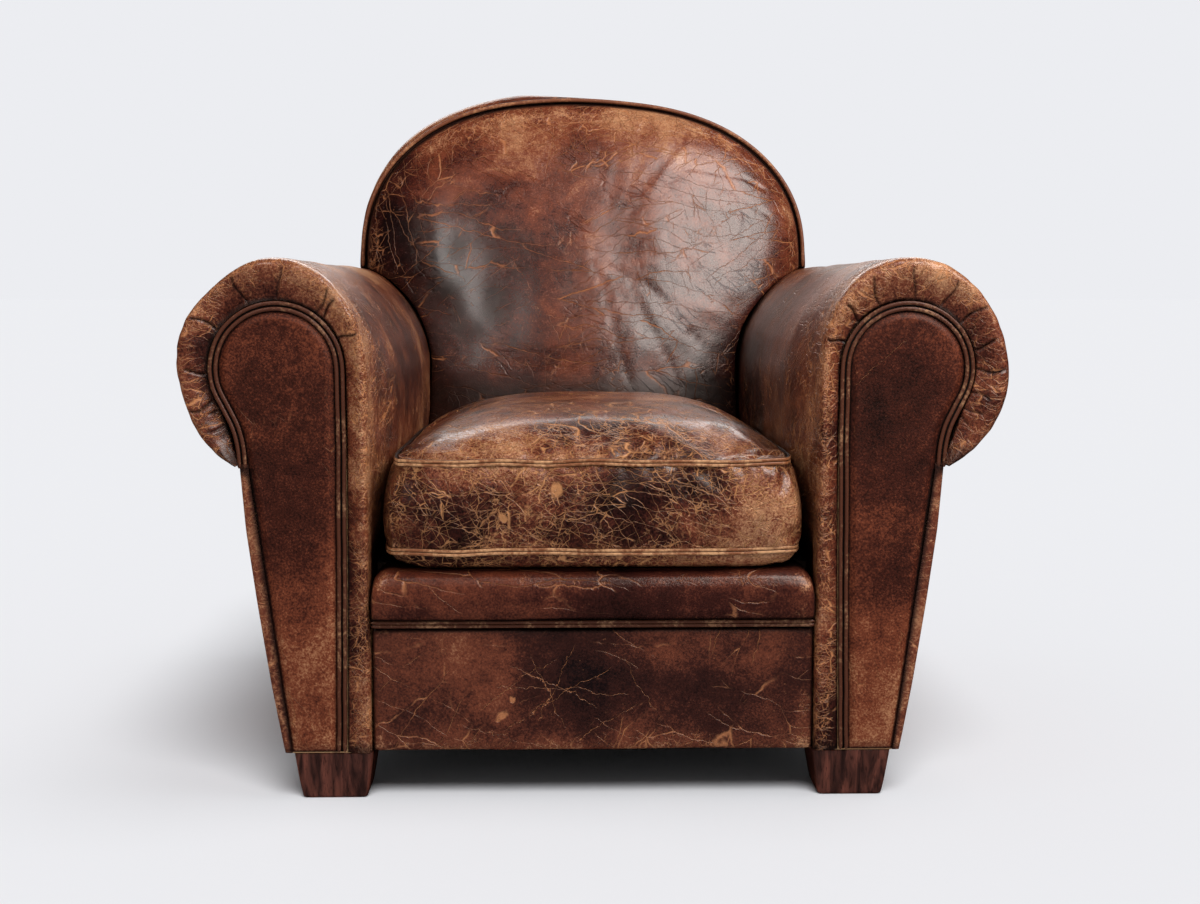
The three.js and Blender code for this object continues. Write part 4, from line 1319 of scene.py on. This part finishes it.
    def build(self) -> None:
        """Makes the back's pieces and dresses them."""
        pad = self.pad_surface().piece("back_cushioning", self.cover)
        ride(pad, "body_leather", "back_pad")
        ride(self.welt_surface().piece("back_piping", self.welt), "welt_leather", "back_welt")
        ride(self.band_surface().piece("back_band", self.band), "body_leather", "back_border")
        ride(self.outer_surface().piece("back_panel", self.outer), "body_leather", "outer_back")


# ---------------------------------------------------------------- the front of the seat
@dataclass
class SeatFront:
    """The apron, the lip over it, the welt between them and the cloth deck behind."""

    apron: bpy.types.Material
    lip: bpy.types.Material
    welt: bpy.types.Material
    deck: bpy.types.Material
    half: float = SEAT_HALF - 0.001
    columns: int = 150

    def stations(self) -> Array:
        """Places along X, close together near both ends."""
        t = np.linspace(-1, 1, self.columns)
        return self.half * np.sin(t * np.pi / 2) * 0.35 + self.half * t * 0.65

    def apron_surface(self) -> Surface:
        """The apron: one profile carried across, with its front face softly pillowed."""
        low = [(-0.4104, HEM), (-0.4235, HEM), (-0.4268, 0.0572), (-0.4280, 0.064), (-0.4285, 0.12)]
        high = [(-0.4280, 0.180), (-0.4262, 0.1888), (-0.4230, 0.1912), (-0.4104, 0.1912)]
        return self.bar(np.array(low + high), 92, 0.0014, 0.006, self.apron_marks, 51)

    def apron_marks(self, p: Array) -> dict[str, Array]:
        """Dirt with painted shade under the welt and at the ends; rubbing along the foot."""
        x, z = np.abs(p[..., 0]), p[..., 2]
        soil = np.maximum(smooth(0.1835, 0.1905, z), smooth(self.half - 0.006, self.half, x) * 0.9)
        return wear(smooth(0.085, 0.056, z) * 0.45 + bell(x - 0.232, 0.01) * 0.25, soil)

    def lip_marks(self, p: Array) -> dict[str, Array]:
        """Dirt with painted shade over the welt, at the ends and under the cushion; rubbing along the crest.
        """
        x, y, z = np.abs(p[..., 0]), p[..., 1], p[..., 2]
        ends = smooth(self.half - 0.004, self.half, x)
        soil = np.maximum.reduce([smooth(0.2065, 0.2005, z), ends, smooth(-0.425, -0.40, y)])
        return wear(bell(z - 0.244, 0.010) * 0.34 + bell(x - 0.230, 0.012) * 0.3, soil)

    def bar(
        self,
        profile: Array,
        count: int,
        proud: float,
        soften: float,
        marks: Callable[[Array], dict[str, Array]],
        seed: int,
    ) -> Surface:
        """A profile in the YZ plane carried across the seat.

        Args:
            profile: its corners, closed by the flat rear side.
            count: points round it.
            proud: how far the middle of its front stands out.
            soften: how far the ends are rounded back.
            marks: gives the numbers at the points.
            seed: picks the dents.

        Returns:
            The bar, with flat ends.
        """
        line = softened(profile, count, 2)
        x = self.stations()[:, None]
        u = x / self.half
        y = line[:, 0] - proud * (1 - u**4) * (line[:, 0] < -0.42) + 0 * x
        y = np.where(line[:, 0] < -0.412, y + self.rounding(x, soften) * 0.6, y)
        points = np.stack([x + 0 * y, y, line[:, 1] + 0 * y], axis=-1)
        made = lofted(points, marks(points)).in_place()
        loose = (points[..., 1] < -0.415).ravel() * smooth(1.0, 0.96, np.abs(u + 0 * y)).ravel()
        return made.push(loose * dents(made.points, (0.10, 0.0014, seed), (0.032, 0.0006, seed + 1)))

    def rounding(self, x: Array, radius: float) -> Array:
        """How far a corner of that radius at each end falls back from the square, by place along X."""
        past = np.maximum(np.abs(x) - (self.half - radius), 0)
        return radius - np.sqrt(np.maximum(radius**2 - past**2, 0))

    def lip_surface(self) -> Surface:
        """The lip: a round-nosed profile carried across, its top corners rounded down at the ends."""
        low = [(-0.362, 0.1894), (-0.4100, 0.1894), (-0.4102, 0.1996), (-0.4330, 0.2000), (-0.4385, 0.2035)]
        nose = [(-0.4412, 0.2110), (-0.4418, 0.2260), (-0.4400, 0.2390), (-0.4350, 0.2480)]
        high = [(-0.4260, 0.2535), (-0.4120, 0.2555), (-0.362, 0.2555)]
        made = self.bar(np.array(low + nose + high), 110, 0.0010, 0.010, self.lip_marks, 61)
        drop = self.rounding(made.points[:, 0], 0.020)
        made.points[:, 2] -= drop * smooth(0.205, 0.2555, made.points[:, 2])
        return made

    def welt_surface(self) -> Surface:
        """The welt under the lip: two thin cords, one over the other."""
        x = self.stations()
        cords = []
        for z in (0.1938, 0.1979):
            path = np.stack([x, np.full(len(x), -0.4305 + LIFT), np.full(len(x), z)], axis=1)
            cords.append(tube(path, 0.0022, (0, -1, 0), 10))
        return joined(cords)

    def deck_surface(self) -> Surface:
        """The deck: a firm cloth-covered platform, a little fuller in the middle."""
        u, v = np.meshgrid(np.linspace(-1, 1, 50), np.linspace(-1, 1, 60), indexing="ij")
        x, y = u * self.half, -0.0628 + v * 0.2988
        top = 0.0025 * (1 - u**8) * (1 - v**8)
        upper = np.stack([x, y + LIFT, DECK_TOP - 0.0025 + top], axis=-1)
        lower = np.stack([x, y + LIFT, 0 * x + 0.2132], axis=-1)
        return cased(upper, lower)

    def build(self) -> None:
        """Makes the seat front's pieces and dresses them."""
        ride(self.apron_surface().piece("apron", self.apron), "body_leather", "front_apron")
        lip = self.lip_surface().piece("seat_lip", self.lip)
        ride(lip, "body_leather", "front_lip")
        ride(self.welt_surface().piece("apron_piping", self.welt), "welt_leather", "front_welt")
        deck = self.deck_surface().piece("platform", self.deck)
        ride(deck, "deck_cloth", "seat_deck")


# ---------------------------------------------------------------- the loose cushion
COVER_CLOTH = {
    "quality": 6,
    "mass": 0.4,
    "vertex_group_mass": "seams",
    "use_pressure": True,
    "uniform_pressure_force": 3.0,
    "shrink_min": -0.035,
    "tension_stiffness": 24,
    "compression_stiffness": 24,
    "shear_stiffness": 12,
    "bending_stiffness": 1.6,
}
COVER_FRAMES = 20


@dataclass
class Cushion:
    """The loose seat cushion: crowned top, puckered boxing, base, and a double piping at both seams."""

    leather: bpy.types.Material
    piping: bpy.types.Material
    front: float = -0.441
    rear: float = 0.112
    half_top: float = 0.219
    half_base: float = 0.229
    low_seam: float = 0.2765
    top_seam: float = 0.3735
    crown: float = 0.0505
    columns: int = 78
    rows: int = 92
    boxing: int = 20

    def outline(self, u: Array, v: Array, half: float) -> tuple[Array, Array]:
        """A rounded rectangle: a square whose corners are drawn in by the eighth power of u times v."""
        drawn = 1 - 0.045 * (u * v) ** 8
        middle, deep = (self.front + self.rear) / 2, (self.rear - self.front) / 2 - 0.004
        return u * half * drawn, middle + v * deep * drawn

    def surface(self) -> Surface:
        """The whole cushion: dome = (1 - |u|^2.4)(1 - |v|^2.8), to the power 0.75 for the top."""
        u, v = np.meshgrid(np.linspace(-1, 1, self.columns), np.linspace(-1, 1, self.rows), indexing="ij")
        u, v = u * (1.35 - 0.35 * u**2), v * (1.35 - 0.35 * v**2)
        dome = (1 - np.abs(u) ** 2.4) * (1 - np.abs(v) ** 2.8)
        x, y = self.outline(u, v, self.half_top)
        hollow = 0.006 * bell(np.hypot(u, (v + 0.1) / 1.1), 0.55)
        top = np.stack([x, y, self.top_seam + self.crown * dome**0.75 - hollow], axis=-1)
        x0, y0 = self.outline(u, v, self.half_base)
        near = np.minimum((1 - np.abs(u)) * self.half_base, (1 - np.abs(v)) * 0.2745)
        turn = 1 - np.minimum(near / 0.022, 1.0)
        raised = 0.45 * smooth(0.78, 1.0, np.abs(u)) * smooth(-0.7, -1.0, v)
        low = self.low_seam - (self.low_seam - DECK_TOP - 0.0008) * (1 - raised) * np.sqrt(1 - turn**2)
        base = np.stack([x0, y0, low], axis=-1)
        edge = rim(*u.shape)
        w = np.linspace(0, 1, self.boxing + 2)[1:-1][:, None, None]
        walls = top.reshape(-1, 3)[edge] * (1 - w) + base.reshape(-1, 3)[edge] * w
        out = walls[..., :2] - np.array([0, (self.front + self.rear) / 2])
        out /= np.abs(out).max(axis=-1, keepdims=True)
        along = np.round(out)
        bulge = 0.0055 * (1 - (2 * w[..., 0] - 1) ** 2)
        walls[..., :2] += along * bulge[..., None]
        return self.with_marks(top, walls, base)

    def with_marks(self, top: Array, walls: Array, base: Array) -> Surface:
        """The closed surface, with wear at the front and the seams, and painted shade with some dirt
        underneath and towards the rear.
        """
        made = cased(top, base, walls=walls)
        x, y, z = made.points.T
        near_top, near_low = bell(z - self.top_seam, 0.010), bell(z - self.low_seam, 0.010)
        crown = smooth(0.37, 0.39, z) * (0.12 + 0.12 * smooth(-0.1, -0.4, y))
        edge = 0.34 * near_top + 0.3 * near_low + 0.16 * smooth(-0.36, -0.43, y) + crown
        edge = edge + 0.25 * smooth(0.195, 0.22, np.abs(x)) * smooth(-0.40, -0.43, y)
        # Painted shade, with some dirt: darker under the lower seam, and towards the rear by the back.
        under = smooth(self.low_seam - 0.014, self.low_seam - 0.0205, z) * 0.7
        made.marks = wear(edge, np.maximum(under, smooth(0.02, 0.10, y) * 0.6))
        return made.in_place()

    def puckered(self, made: Surface) -> Surface:
        """Gathers at the seams: upright noise along the boxing, and short pulls on top by the piping."""
        p = made.points
        z = p[:, 2]
        over, under = z - self.top_seam, z - self.low_seam
        fine = cloud(p * (1.0, 1.0, 0.30), 0.0125, 71) + 0.6 * cloud(p * (1.0, 1.0, 0.4), 0.024, 72)
        on_box = (z < self.top_seam - 0.002) & (z > self.low_seam + 0.002)
        near = bell(over + 0.016, 0.020) + 0.55 * bell(under - 0.012, 0.014)
        corner = 0.5 + 0.8 * smooth(0.13, 0.21, np.abs(p[:, 0]))
        top = (z >= self.top_seam) * smooth(0.406, 0.378, z) * 0.5
        slow = dents(p, (0.10, 0.0022, 73), (0.036, 0.0011, 74))
        soft = smooth(0.0, 0.010, np.abs(over)) * smooth(0.0, 0.008, np.abs(under))
        lifted = slow * (z > DECK_TOP + 0.006) + fine * 0.0032 * corner * (near * on_box + top)
        return made.push(lifted * soft)

    def settled(self, piece: bpy.types.Object, start: Array, cap: float = 0.011) -> None:
        """Blows the cover up as cloth, held at its seams, and keeps each point within a cap of its start.

        Args:
            piece: the cushion, which keeps no cloth afterwards.
            start: its points before.
            cap: the furthest that a point may move.
        """
        group = piece.vertex_groups.new(name="seams")
        seam = bell(start[:, 2] - self.top_seam, 0.002) + bell(start[:, 2] - self.low_seam, 0.002)
        flat = start[:, 2] < self.low_seam - 0.012
        group.add(np.flatnonzero((seam > 0.5) | flat).tolist(), 1.0, "REPLACE")
        cloth = piece.modifiers.new("cover", "CLOTH")
        for name, value in COVER_CLOTH.items():
            setattr(cloth.settings, name, value)
        cloth.settings.effector_weights.gravity = 0
        cloth.point_cache.frame_start = 1
        cloth.point_cache.frame_end = COVER_FRAMES
        for step in range(1, COVER_FRAMES + 1):
            bpy.context.scene.frame_set(step)
        shape = piece.evaluated_get(bpy.context.evaluated_depsgraph_get()).to_mesh()
        moved = np.zeros(len(start) * 3, np.float32)
        shape.vertices.foreach_get("co", moved)
        piece.modifiers.remove(cloth)
        piece.vertex_groups.clear()
        bpy.context.scene.frame_set(1)
        shift = moved.reshape(-1, 3) - start
        size = np.linalg.norm(shift, axis=1, keepdims=True)
        shift *= np.tanh(size / cap) * cap / np.maximum(size, 1e-9)
        piece.data.vertices.foreach_set("co", (start + shift).astype(np.float32).ravel())
        piece.data.update()
        log.info("cushion cover settled: largest move %.1f mm", 1000 * float(np.abs(shift).max()))

    def piping_surface(self) -> Surface:
        """Two thin cords, one over the other, round each seam."""
        turn = np.linspace(-1, 1, 110)[:-1]
        one = np.ones_like(turn)
        u = np.concatenate([turn, one, -turn, -one])
        v = np.concatenate([-one, turn, one, -turn])
        cords = []
        for half, height in ((self.half_top, self.top_seam), (self.half_base, self.low_seam)):
            x, y = self.outline(u, v, half)
            out = np.stack([x / half, (y - (self.front + self.rear) / 2) / 0.2765, 0 * x], axis=1)
            out = np.sign(out) * np.abs(out) ** 6
            out /= np.maximum(np.linalg.norm(out, axis=1, keepdims=True), 1e-9)
            for up in (-0.0020, 0.0020):
                sag = 0.0022 * cloud(np.stack([x, y, 0 * x + height], axis=1), 0.05, 81)
                path = np.stack([x, y + LIFT, height + up + sag], axis=1) + out * 0.0016
                cords.append(tube(path, 0.0021, out, 8, closed=True))
        return joined(cords)

    def build(self) -> None:
        """Makes the cushion and its piping."""
        made = self.puckered(self.surface())
        piece = made.piece("seat_cushion_cover", self.leather, 180.0)
        self.settled(piece, made.points)
        finer = piece.modifiers.new("finer", "SUBSURF")
        finer.levels = 1
        finer.render_levels = 1
        ride(piece, "cushion_leather", "seat_cushion")
        ride(self.piping_surface().piece("seat_cushion_piping", self.piping), "welt_leather")


# ---------------------------------------------------------------- feet, underside and frame
@dataclass
class Feet:
    """Four tapered block feet with eased edges."""

    wood: bpy.types.Material
    half_top: float = 0.0435
    half_base: float = 0.035

    def surface(self, node: str) -> Surface:
        """One foot: rounded squares stacked up, growing with the 0.8 power of height."""
        low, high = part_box(node)
        centre, height = (low + high) / 2, high.z - low.z
        up = np.array([0.0, 0.012, 0.03, *np.linspace(0.06, 0.985, 14), 0.995, 1.0])[:, None]
        half = self.half_base + (self.half_top - self.half_base) * up**0.8
        half = half - 0.0016 * smooth(0.035, 0.0, up) - 0.0008 * smooth(0.985, 1.0, up)
        ring = superellipse((0, 0), (1, 1), 18.0, np.linspace(0, 360, 64, endpoint=False))
        x = centre.x + half * ring[:, 0]
        y = centre.y + half * ring[:, 1]
        return lofted(np.stack([x, y, low.z + height * up + 0 * x], axis=-1))

    def build(self) -> None:
        """Makes the four feet."""
        for end, hand in itertools.product(("front", "rear"), ("right", "left")):
            node = f"foot_{end}_{hand}"
            ride(self.surface(node).piece(f"block_{node}", self.wood, 40.0), "foot_wood", node)


@dataclass
class Underside:
    """The cloth under the seat frame and the cloth over the springs."""

    lining: bpy.types.Material
    hessian: bpy.types.Material

    def cloth(
        self,
        x: Array,
        y: Array,
        notch: tuple[float, float, float],
        height: Callable[[Array, Array], Array],
        thick: float,
    ) -> Surface:
        """A sheet on grid lines with its corners cut away, at a height that depends on place.

        Args:
            x: grid lines across.
            y: grid lines along.
            notch: half width, front and rear of the part that keeps its corners.
            height: gives the underside's height from x and y.
            thick: the cloth's thickness.

        Returns:
            The sheet.
        """
        u, v = np.meshgrid(x, y, indexing="ij")
        z = height(u, v)
        low = np.stack([u, v + LIFT, z], axis=-1)
        middle_x, middle_y = np.abs(x[:-1] + x[1:]) / 2, (y[:-1] + y[1:]) / 2
        half, front, rear = notch
        kept = (middle_x[:, None] < half) | ((middle_y > front) & (middle_y < rear))
        return slab(low + (0, 0, thick), low, kept)

    def build(self) -> None:
        """Makes both cloths."""
        x = stepped((-0.3, -0.244, 0.244, 0.3), (6, 40, 6))
        y = stepped((-0.408, -0.338, 0.262, 0.33), (8, 50, 8))
        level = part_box("dust_cover")[LOW].z
        dust = self.cloth(x, y, (0.244, -0.338, 0.262), lambda u, v: level + 0 * u, 0.0011)
        piece = ride(dust.piece("bottom_lining", self.lining, 40.0), "lining", "dust_cover")

        x = stepped((-0.29, -0.264, 0.264, 0.29), (4, 50, 4))
        y = stepped((-0.408, -0.385, 0.298, 0.328), (4, 60, 4))
        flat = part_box("spring_cover")[LOW].z

        def over_springs(u: Array, v: Array) -> Array:
            """Flat on the rails, raised over the coils."""
            along = smooth(-0.356, -0.310, v) * smooth(0.280, 0.230, v)
            return flat + 0.0235 * smooth(0.241, 0.188, np.abs(u)) * along

        cover = self.cloth(x, y, (0.264, -0.385, 0.298), over_springs, 0.0014)
        piece = ride(cover.piece("spring_hessian", self.hessian, 40.0), "hessian", "spring_cover")


@dataclass
class Skeleton:
    """The frame, webbing, springs and bolts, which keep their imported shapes."""

    beech: bpy.types.Material
    steel: bpy.types.Material
    jute: bpy.types.Material

    def build(self) -> None:
        """Gives each kept node its finish, by the start of its name."""
        for name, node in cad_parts.items():
            if node.hide_render:
                continue
            if name.startswith(("seat_spring", "foot_bolt")):
                finish = self.steel
            elif name.startswith("web_strap"):
                finish = self.jute
            else:
                finish = self.beech
            node.data.materials.clear()
            node.data.materials.append(finish)


# ---------------------------------------------------------------- studio
SUNS = (("floor_front", (0.40, -2.7, 4.0), 2.43), ("floor_right", (1.2, 0.1, 4.0), 0.46))
BOXES = (
    ("box_right", (1.15, -1.05, 2.05), (0.14, 0.2, 0.6), (1.5, 1.5), 68),
    ("box_left", (-0.98, -1.36, 1.95), (-0.15, 0.2, 0.60), (0.30, 0.80), 9),
    ("box_behind", (0.0, 2.3, 1.9), (0.0, 0.0, 0.5), (2.6, 0.8), 34),
    ("box_side", (-2.4, -0.6, 0.9), (-0.3, 0.0, 0.4), (1.0, 1.6), 16),
    ("box_front", (0.0, -3.4, 1.1), (0.0, 0.0, 0.4), (3.0, 1.8), 16),
)  # name, place, what it faces, width and height, and watts
GLINTLESS = ("box_side", "box_front")


@dataclass
class Studio:
    """A pale seamless floor, an even surround, soft boxes, and the camera."""

    paper: str = "ecedf1"
    surround: float = 0.22
    eye: tuple[float, float, float] = (-0.036, -2.23, 0.552)
    lens: float = 50.1
    tilt: float = 5.3
    pan: float = 1.37

    def camera(self) -> None:
        """An eye a little left of the middle, just above the arms, looking slightly down."""
        data = bpy.data.cameras.new("camera")
        data.lens = self.lens
        data.sensor_width = 36.0
        made = bpy.data.objects.new("camera", data)
        made.location = self.eye
        made.rotation_euler = (math.radians(90 - self.tilt), 0.0, -math.radians(self.pan))
        bpy.context.scene.collection.objects.link(made)
        bpy.context.scene.camera = made

    def floor(self) -> bpy.types.Object:
        """The floor, a plane that runs out to the horizon."""
        mesh = bpy.data.meshes.new("floor")
        far = 400.0
        corners = [(-far, -far, 0.0), (far, -far, 0.0), (far, far, 0.0), (-far, far, 0.0)]
        mesh.from_pydata(corners, [], [(0, 1, 2, 3)])
        b = Bench("pale_floor")
        shade = b.noise(0.5, 2.0)
        colour = b.mix(tint("eeeff2"), tint("efeff2"), shade)
        mesh.materials.append(b.finish(Base_Color=colour, Roughness=0.9, Specular_IOR_Level=0.0))
        made = bpy.data.objects.new("floor", mesh)
        bpy.context.scene.collection.objects.link(made)
        return made

    def world(self) -> None:
        """The surround: pale to the eye, dimmer as a light, and out of the leather's reflections."""
        made = bpy.data.worlds.new("surround")
        made.use_nodes = True
        tree = made.node_tree
        seen, lit = tree.nodes["Background"], tree.nodes.new("ShaderNodeBackground")
        seen.inputs["Color"].default_value = tint(self.paper)
        lit.inputs["Color"].default_value = (0.99, 0.99, 1.0, 1.0)
        lit.inputs["Strength"].default_value = self.surround
        path, mix = tree.nodes.new("ShaderNodeLightPath"), tree.nodes.new("ShaderNodeMixShader")
        tree.links.new(path.outputs["Is Camera Ray"], mix.inputs[0])
        tree.links.new(lit.outputs[0], mix.inputs[1])
        tree.links.new(seen.outputs[0], mix.inputs[2])
        tree.links.new(mix.outputs[0], tree.nodes["World Output"].inputs["Surface"])
        made.cycles_visibility.glossy = False
        bpy.context.scene.world = made

    def box(
        self,
        name: str,
        place: Sequence[float],
        aim: Sequence[float],
        size: Sequence[float],
        power: float,
        floor: bpy.types.Object,
    ) -> None:
        """A soft box that lights the chair and not the floor.

        Args:
            name: its name.
            place: its middle.
            aim: what it faces.
            size: width and height.
            power: in watts.
            floor: what it leaves out.
        """
        data = bpy.data.lights.new(name, "AREA")
        data.shape = "RECTANGLE"
        data.size, data.size_y = size
        data.energy = power
        data.color = (1.0, 0.96, 0.93)
        made = self.hung(name, data, place, aim)
        made.visible_camera = False
        made.visible_glossy = name not in GLINTLESS
        self.linked(made, floor, "EXCLUDE")

    def sun(self, name: str, place: Sequence[float], power: float, floor: bpy.types.Object) -> None:
        """A broad distant light that lights the floor alone, so that the chair's shadow on it stays pale."""
        data = bpy.data.lights.new(name, "SUN")
        data.energy = power
        data.color = (0.99, 0.995, 1.0)
        data.angle = math.radians(30)
        self.linked(self.hung(name, data, place, (0, 0, 0)), floor, "INCLUDE")

    def hung(
        self,
        name: str,
        data: bpy.types.Light,
        place: Sequence[float],
        aim: Sequence[float],
    ) -> bpy.types.Object:
        """A light put in its place and turned to face its aim."""
        made = bpy.data.objects.new(name, data)
        made.location = place
        made.rotation_euler = (Vector(aim) - Vector(place)).to_track_quat("-Z", "Y").to_euler()
        bpy.context.scene.collection.objects.link(made)
        return made

    def linked(self, light: bpy.types.Object, floor: bpy.types.Object, state: str) -> None:
        """Makes a light shine only on the floor, or on everything but the floor."""
        group = bpy.data.collections.new(light.name + "_on")
        group.objects.link(floor)
        light.light_linking.receiver_collection = group
        group.collection_objects[0].light_linking.link_state = state

    def build(self) -> None:
        """Makes the surroundings."""
        floor = self.floor()
        floor.visible_glossy = False
        self.world()
        for sun in SUNS:
            self.sun(*sun, floor)
        for box in BOXES:
            self.box(*box, floor)
        bpy.context.scene.view_settings.view_transform = "Standard"


# ---------------------------------------------------------------- the chair
def leathers() -> dict[str, bpy.types.Material]:
    """The leather of each part of the chair."""
    apron_strokes = (
        Stroke((0.05, 0.110), (-0.03, 0.060), 0.0004),
        Stroke((-0.09, 0.150), (0.01, 0.100)),
        Stroke((-0.13, 0.100), (-0.04, 0.160)),
        Stroke((-0.07, 0.165), (-0.03, 0.080), 0.0005),
        Stroke((-0.11, 0.125), (0.04, 0.118), 0.0005),
        Stroke((-0.02, 0.175), (-0.06, 0.085)),
        Stroke((0.02, 0.150), (-0.10, 0.075), 0.0005),
        Stroke((0.00, 0.090), (0.06, 0.062)),
        Stroke((-0.15, 0.085), (-0.09, 0.072)),
        Stroke((0.03, 0.160), (0.07, 0.100), 0.0005),
    )
    apron_spots = (Spot((-0.104, 0.094), 0.007), Spot((-0.092, 0.110), 0.005))
    finishes = (
        Leather(
            "back", contrast=0.85, net=0.3, cell=80.0, specks=0.5, gloss=0.26, coat=0.45, seed=3.0,
            whole=0.08,
            strands=(
                Strand((0, 8, 0), (0.22, 0.09, 0.027), 0.016, 0.74, 0.9),
                Strand((0, -34, 0), (0.18, 0.09, 0.026), 0.015, 0.60, 0.9),
                Strand((0, 72, 0), (0.12, 0.09, 0.022), 0.018, 0.40, 0.7),
                Strand((0, 35, 0), (0.07, 0.06, 0.012), 0.070, 0.34, 0.0),
            ),
            tones=(
                Tone((0.06, 0.77), (0.30, 0.13), 0.13),
                Tone((-0.24, 0.75), (0.12, 0.08), 0.10),
                Tone((-0.31, 0.62), (0.09, 0.22), -0.12),
                Tone((0.10, 0.46), (0.20, 0.14), -0.03),
                Tone((-0.16, 0.48), (0.16, 0.12), -0.12),
            ),
        ),
        Leather(
            "arm", light=0.03, net=0.35, cell=210.0, stretch=(1.0, 1.0, 2.2), specks=0.3, wave=0.3,
            grain=0.8, scar="b5784c", gloss=0.31, coat=0.28, seed=1.0,
            strands=(
                Strand((38, 20, 0), (0.030, 0.060, 0.0062), 0.050, 0.56, 0.9),
                Strand((-42, 0, 0), (0.030, 0.060, 0.0070), 0.050, 0.46, 0.9),
                Strand((0, 0, 8), (0.010, 0.12, 0.010), 0.055, 0.34, 0.5),
            ),
            tones=(
                Tone((-0.37, 0.57), (0.13, 0.08), 0.24),
                Tone((-0.45, 0.46), (0.06, 0.12), 0.15),
                Tone((-0.25, 0.40), (0.05, 0.16), 0.04),
            ),
        ),
        Leather(
            "outer", light=0.14, contrast=0.75, net=0.2, specks=0.3, wave=0.4, gloss=0.46, coat=0.1,
            shine=0.3, seed=5.0,
            strands=(Strand((0, 0, 0), (0.08, 0.08, 0.018), 0.03, 0.4, 0.8),),
        ),
        Leather(
            "facing", deep="170705", brown="3d170d", warm="6f3620", light=0.03, contrast=0.5, net=0.0,
            specks=0.12, wave=0.15, grain=0.7, gloss=0.5, coat=0.0, shine=0.22, seed=7.0,
            strands=(Strand((0, 60, 0), (0.05, 0.05, 0.012), 0.04, 0.15, 0.5),),
            strokes=(Stroke((0.2818, 0.454), (0.341, 0.509), 0.0004),),
            tones=(
                Tone((0.335, 0.36), (0.10, 0.20), -0.11),
                Tone((-0.335, 0.36), (0.10, 0.20), -0.11),
                Tone((0.32, 0.12), (0.14, 0.15), 0.13),
                Tone((-0.32, 0.12), (0.14, 0.15), 0.13),
            ),
        ),
        Leather(
            "lip", contrast=0.6, net=0.1, specks=0.3, wave=0.3, gloss=0.31, seed=9.0,
            strands=(Strand((0, 14, 0), (0.10, 0.05, 0.022), 0.028, 0.4, 0.7),),
            strokes=(Stroke((-0.181, 0.244), (-0.138, 0.206), 0.0005),),
        ),
        Leather(
            "apron", deep="150c0e", brown="381a15", warm="6e3825", light=-0.01, contrast=0.62, net=0.1,
            specks=0.3, wave=0.35, gloss=0.32, seed=11.0, strokes=apron_strokes, spots=apron_spots,
            strands=(
                Strand((0, 25, 0), (0.12, 0.09, 0.030), 0.018, 0.48, 0.9),
                Strand((0, -50, 0), (0.12, 0.09, 0.030), 0.018, 0.44, 0.9),
            ),
            tones=(
                Tone((-0.18, 0.14), (0.16, 0.12), 0.02),
                Tone((0.02, 0.10), (0.12, 0.07), -0.10),
                Tone((0.14, 0.09), (0.16, 0.07), 0.04),
                Tone((0.12, 0.17), (0.20, 0.04), 0.10),
            ),
        ),
        Leather(
            "cushion", light=0.02, contrast=1.05, net=0.6, cell=140.0, stretch=(1.4, 1.0, 1.0), specks=0.6,
            wave=0.45, grain=0.9, scar="b07a4e", gloss=0.29, coat=0.45, seed=13.0,
            strands=(
                Strand((0, 9, 0), (0.08, 0.055, 0.014), 0.029, 0.72),
                Strand((0, -36, 0), (0.06, 0.035, 0.011), 0.026, 0.62),
                Strand((0, 58, 20), (0.07, 0.045, 0.013), 0.025, 0.70),
            ),
            tones=(
                Tone((-0.085, 0.328), (0.15, 0.036), -0.17),
                Tone((0.02, 0.290), (0.13, 0.018), -0.10),
                Tone((0.15, 0.312), (0.07, 0.035), 0.04),
                Tone((-0.19, 0.295), (0.05, 0.030), 0.14),
            ),
            spots=(Spot((-0.040, 0.345), 0.008), Spot((-0.098, 0.316), 0.008)),
        ),
    )
    return {finish.name: finish.material() for finish in finishes}


def main() -> None:
    """Builds the chair part by part, then its surroundings."""
    logging.basicConfig(level=logging.INFO, format="%(message)s")
    studio = Studio()
    studio.camera()
    skin = leathers()
    welt = Cord("welt_leather").material()
    piping = Cord("piping_leather", dark="1a0c08", brown="7c4a2c", tan="c2946a", rub=0.9).material()
    for side in Side:
        Arm(side, skin["arm"], skin["facing"], welt, skin["outer"]).build()
    edging = Cord("edging_leather", dark="140806", brown="6b3b24", tan="a8744e", rub=0.6).material()
    Back(skin["back"], skin["outer"], edging, skin["outer"]).build()
    SeatFront(skin["apron"], skin["lip"], welt, Weave("deck_cloth", "3b2a20", "17100c").material()).build()
    Cushion(skin["cushion"], piping).build()
    Feet(Wood("stained_wood", "2e1713", "6e3a2c", 0.36, 0.25).material()).build()
    Underside(
        Weave("lining_cloth", "2a2826", "0c0b0b", 0.0012).material(),
        Weave("hessian", "a88a5c", "4a3a22", 0.0026).material(),
    ).build()
    Skeleton(
        Wood("beech", "9a7048", "cfa878", 0.7, axis="x").material(),
        Steel().material(),
        Weave("jute_web", "a5875a", "55432a", 0.0024).material(),
    ).build()
    studio.build()


if __name__ == "__main__":
    main()
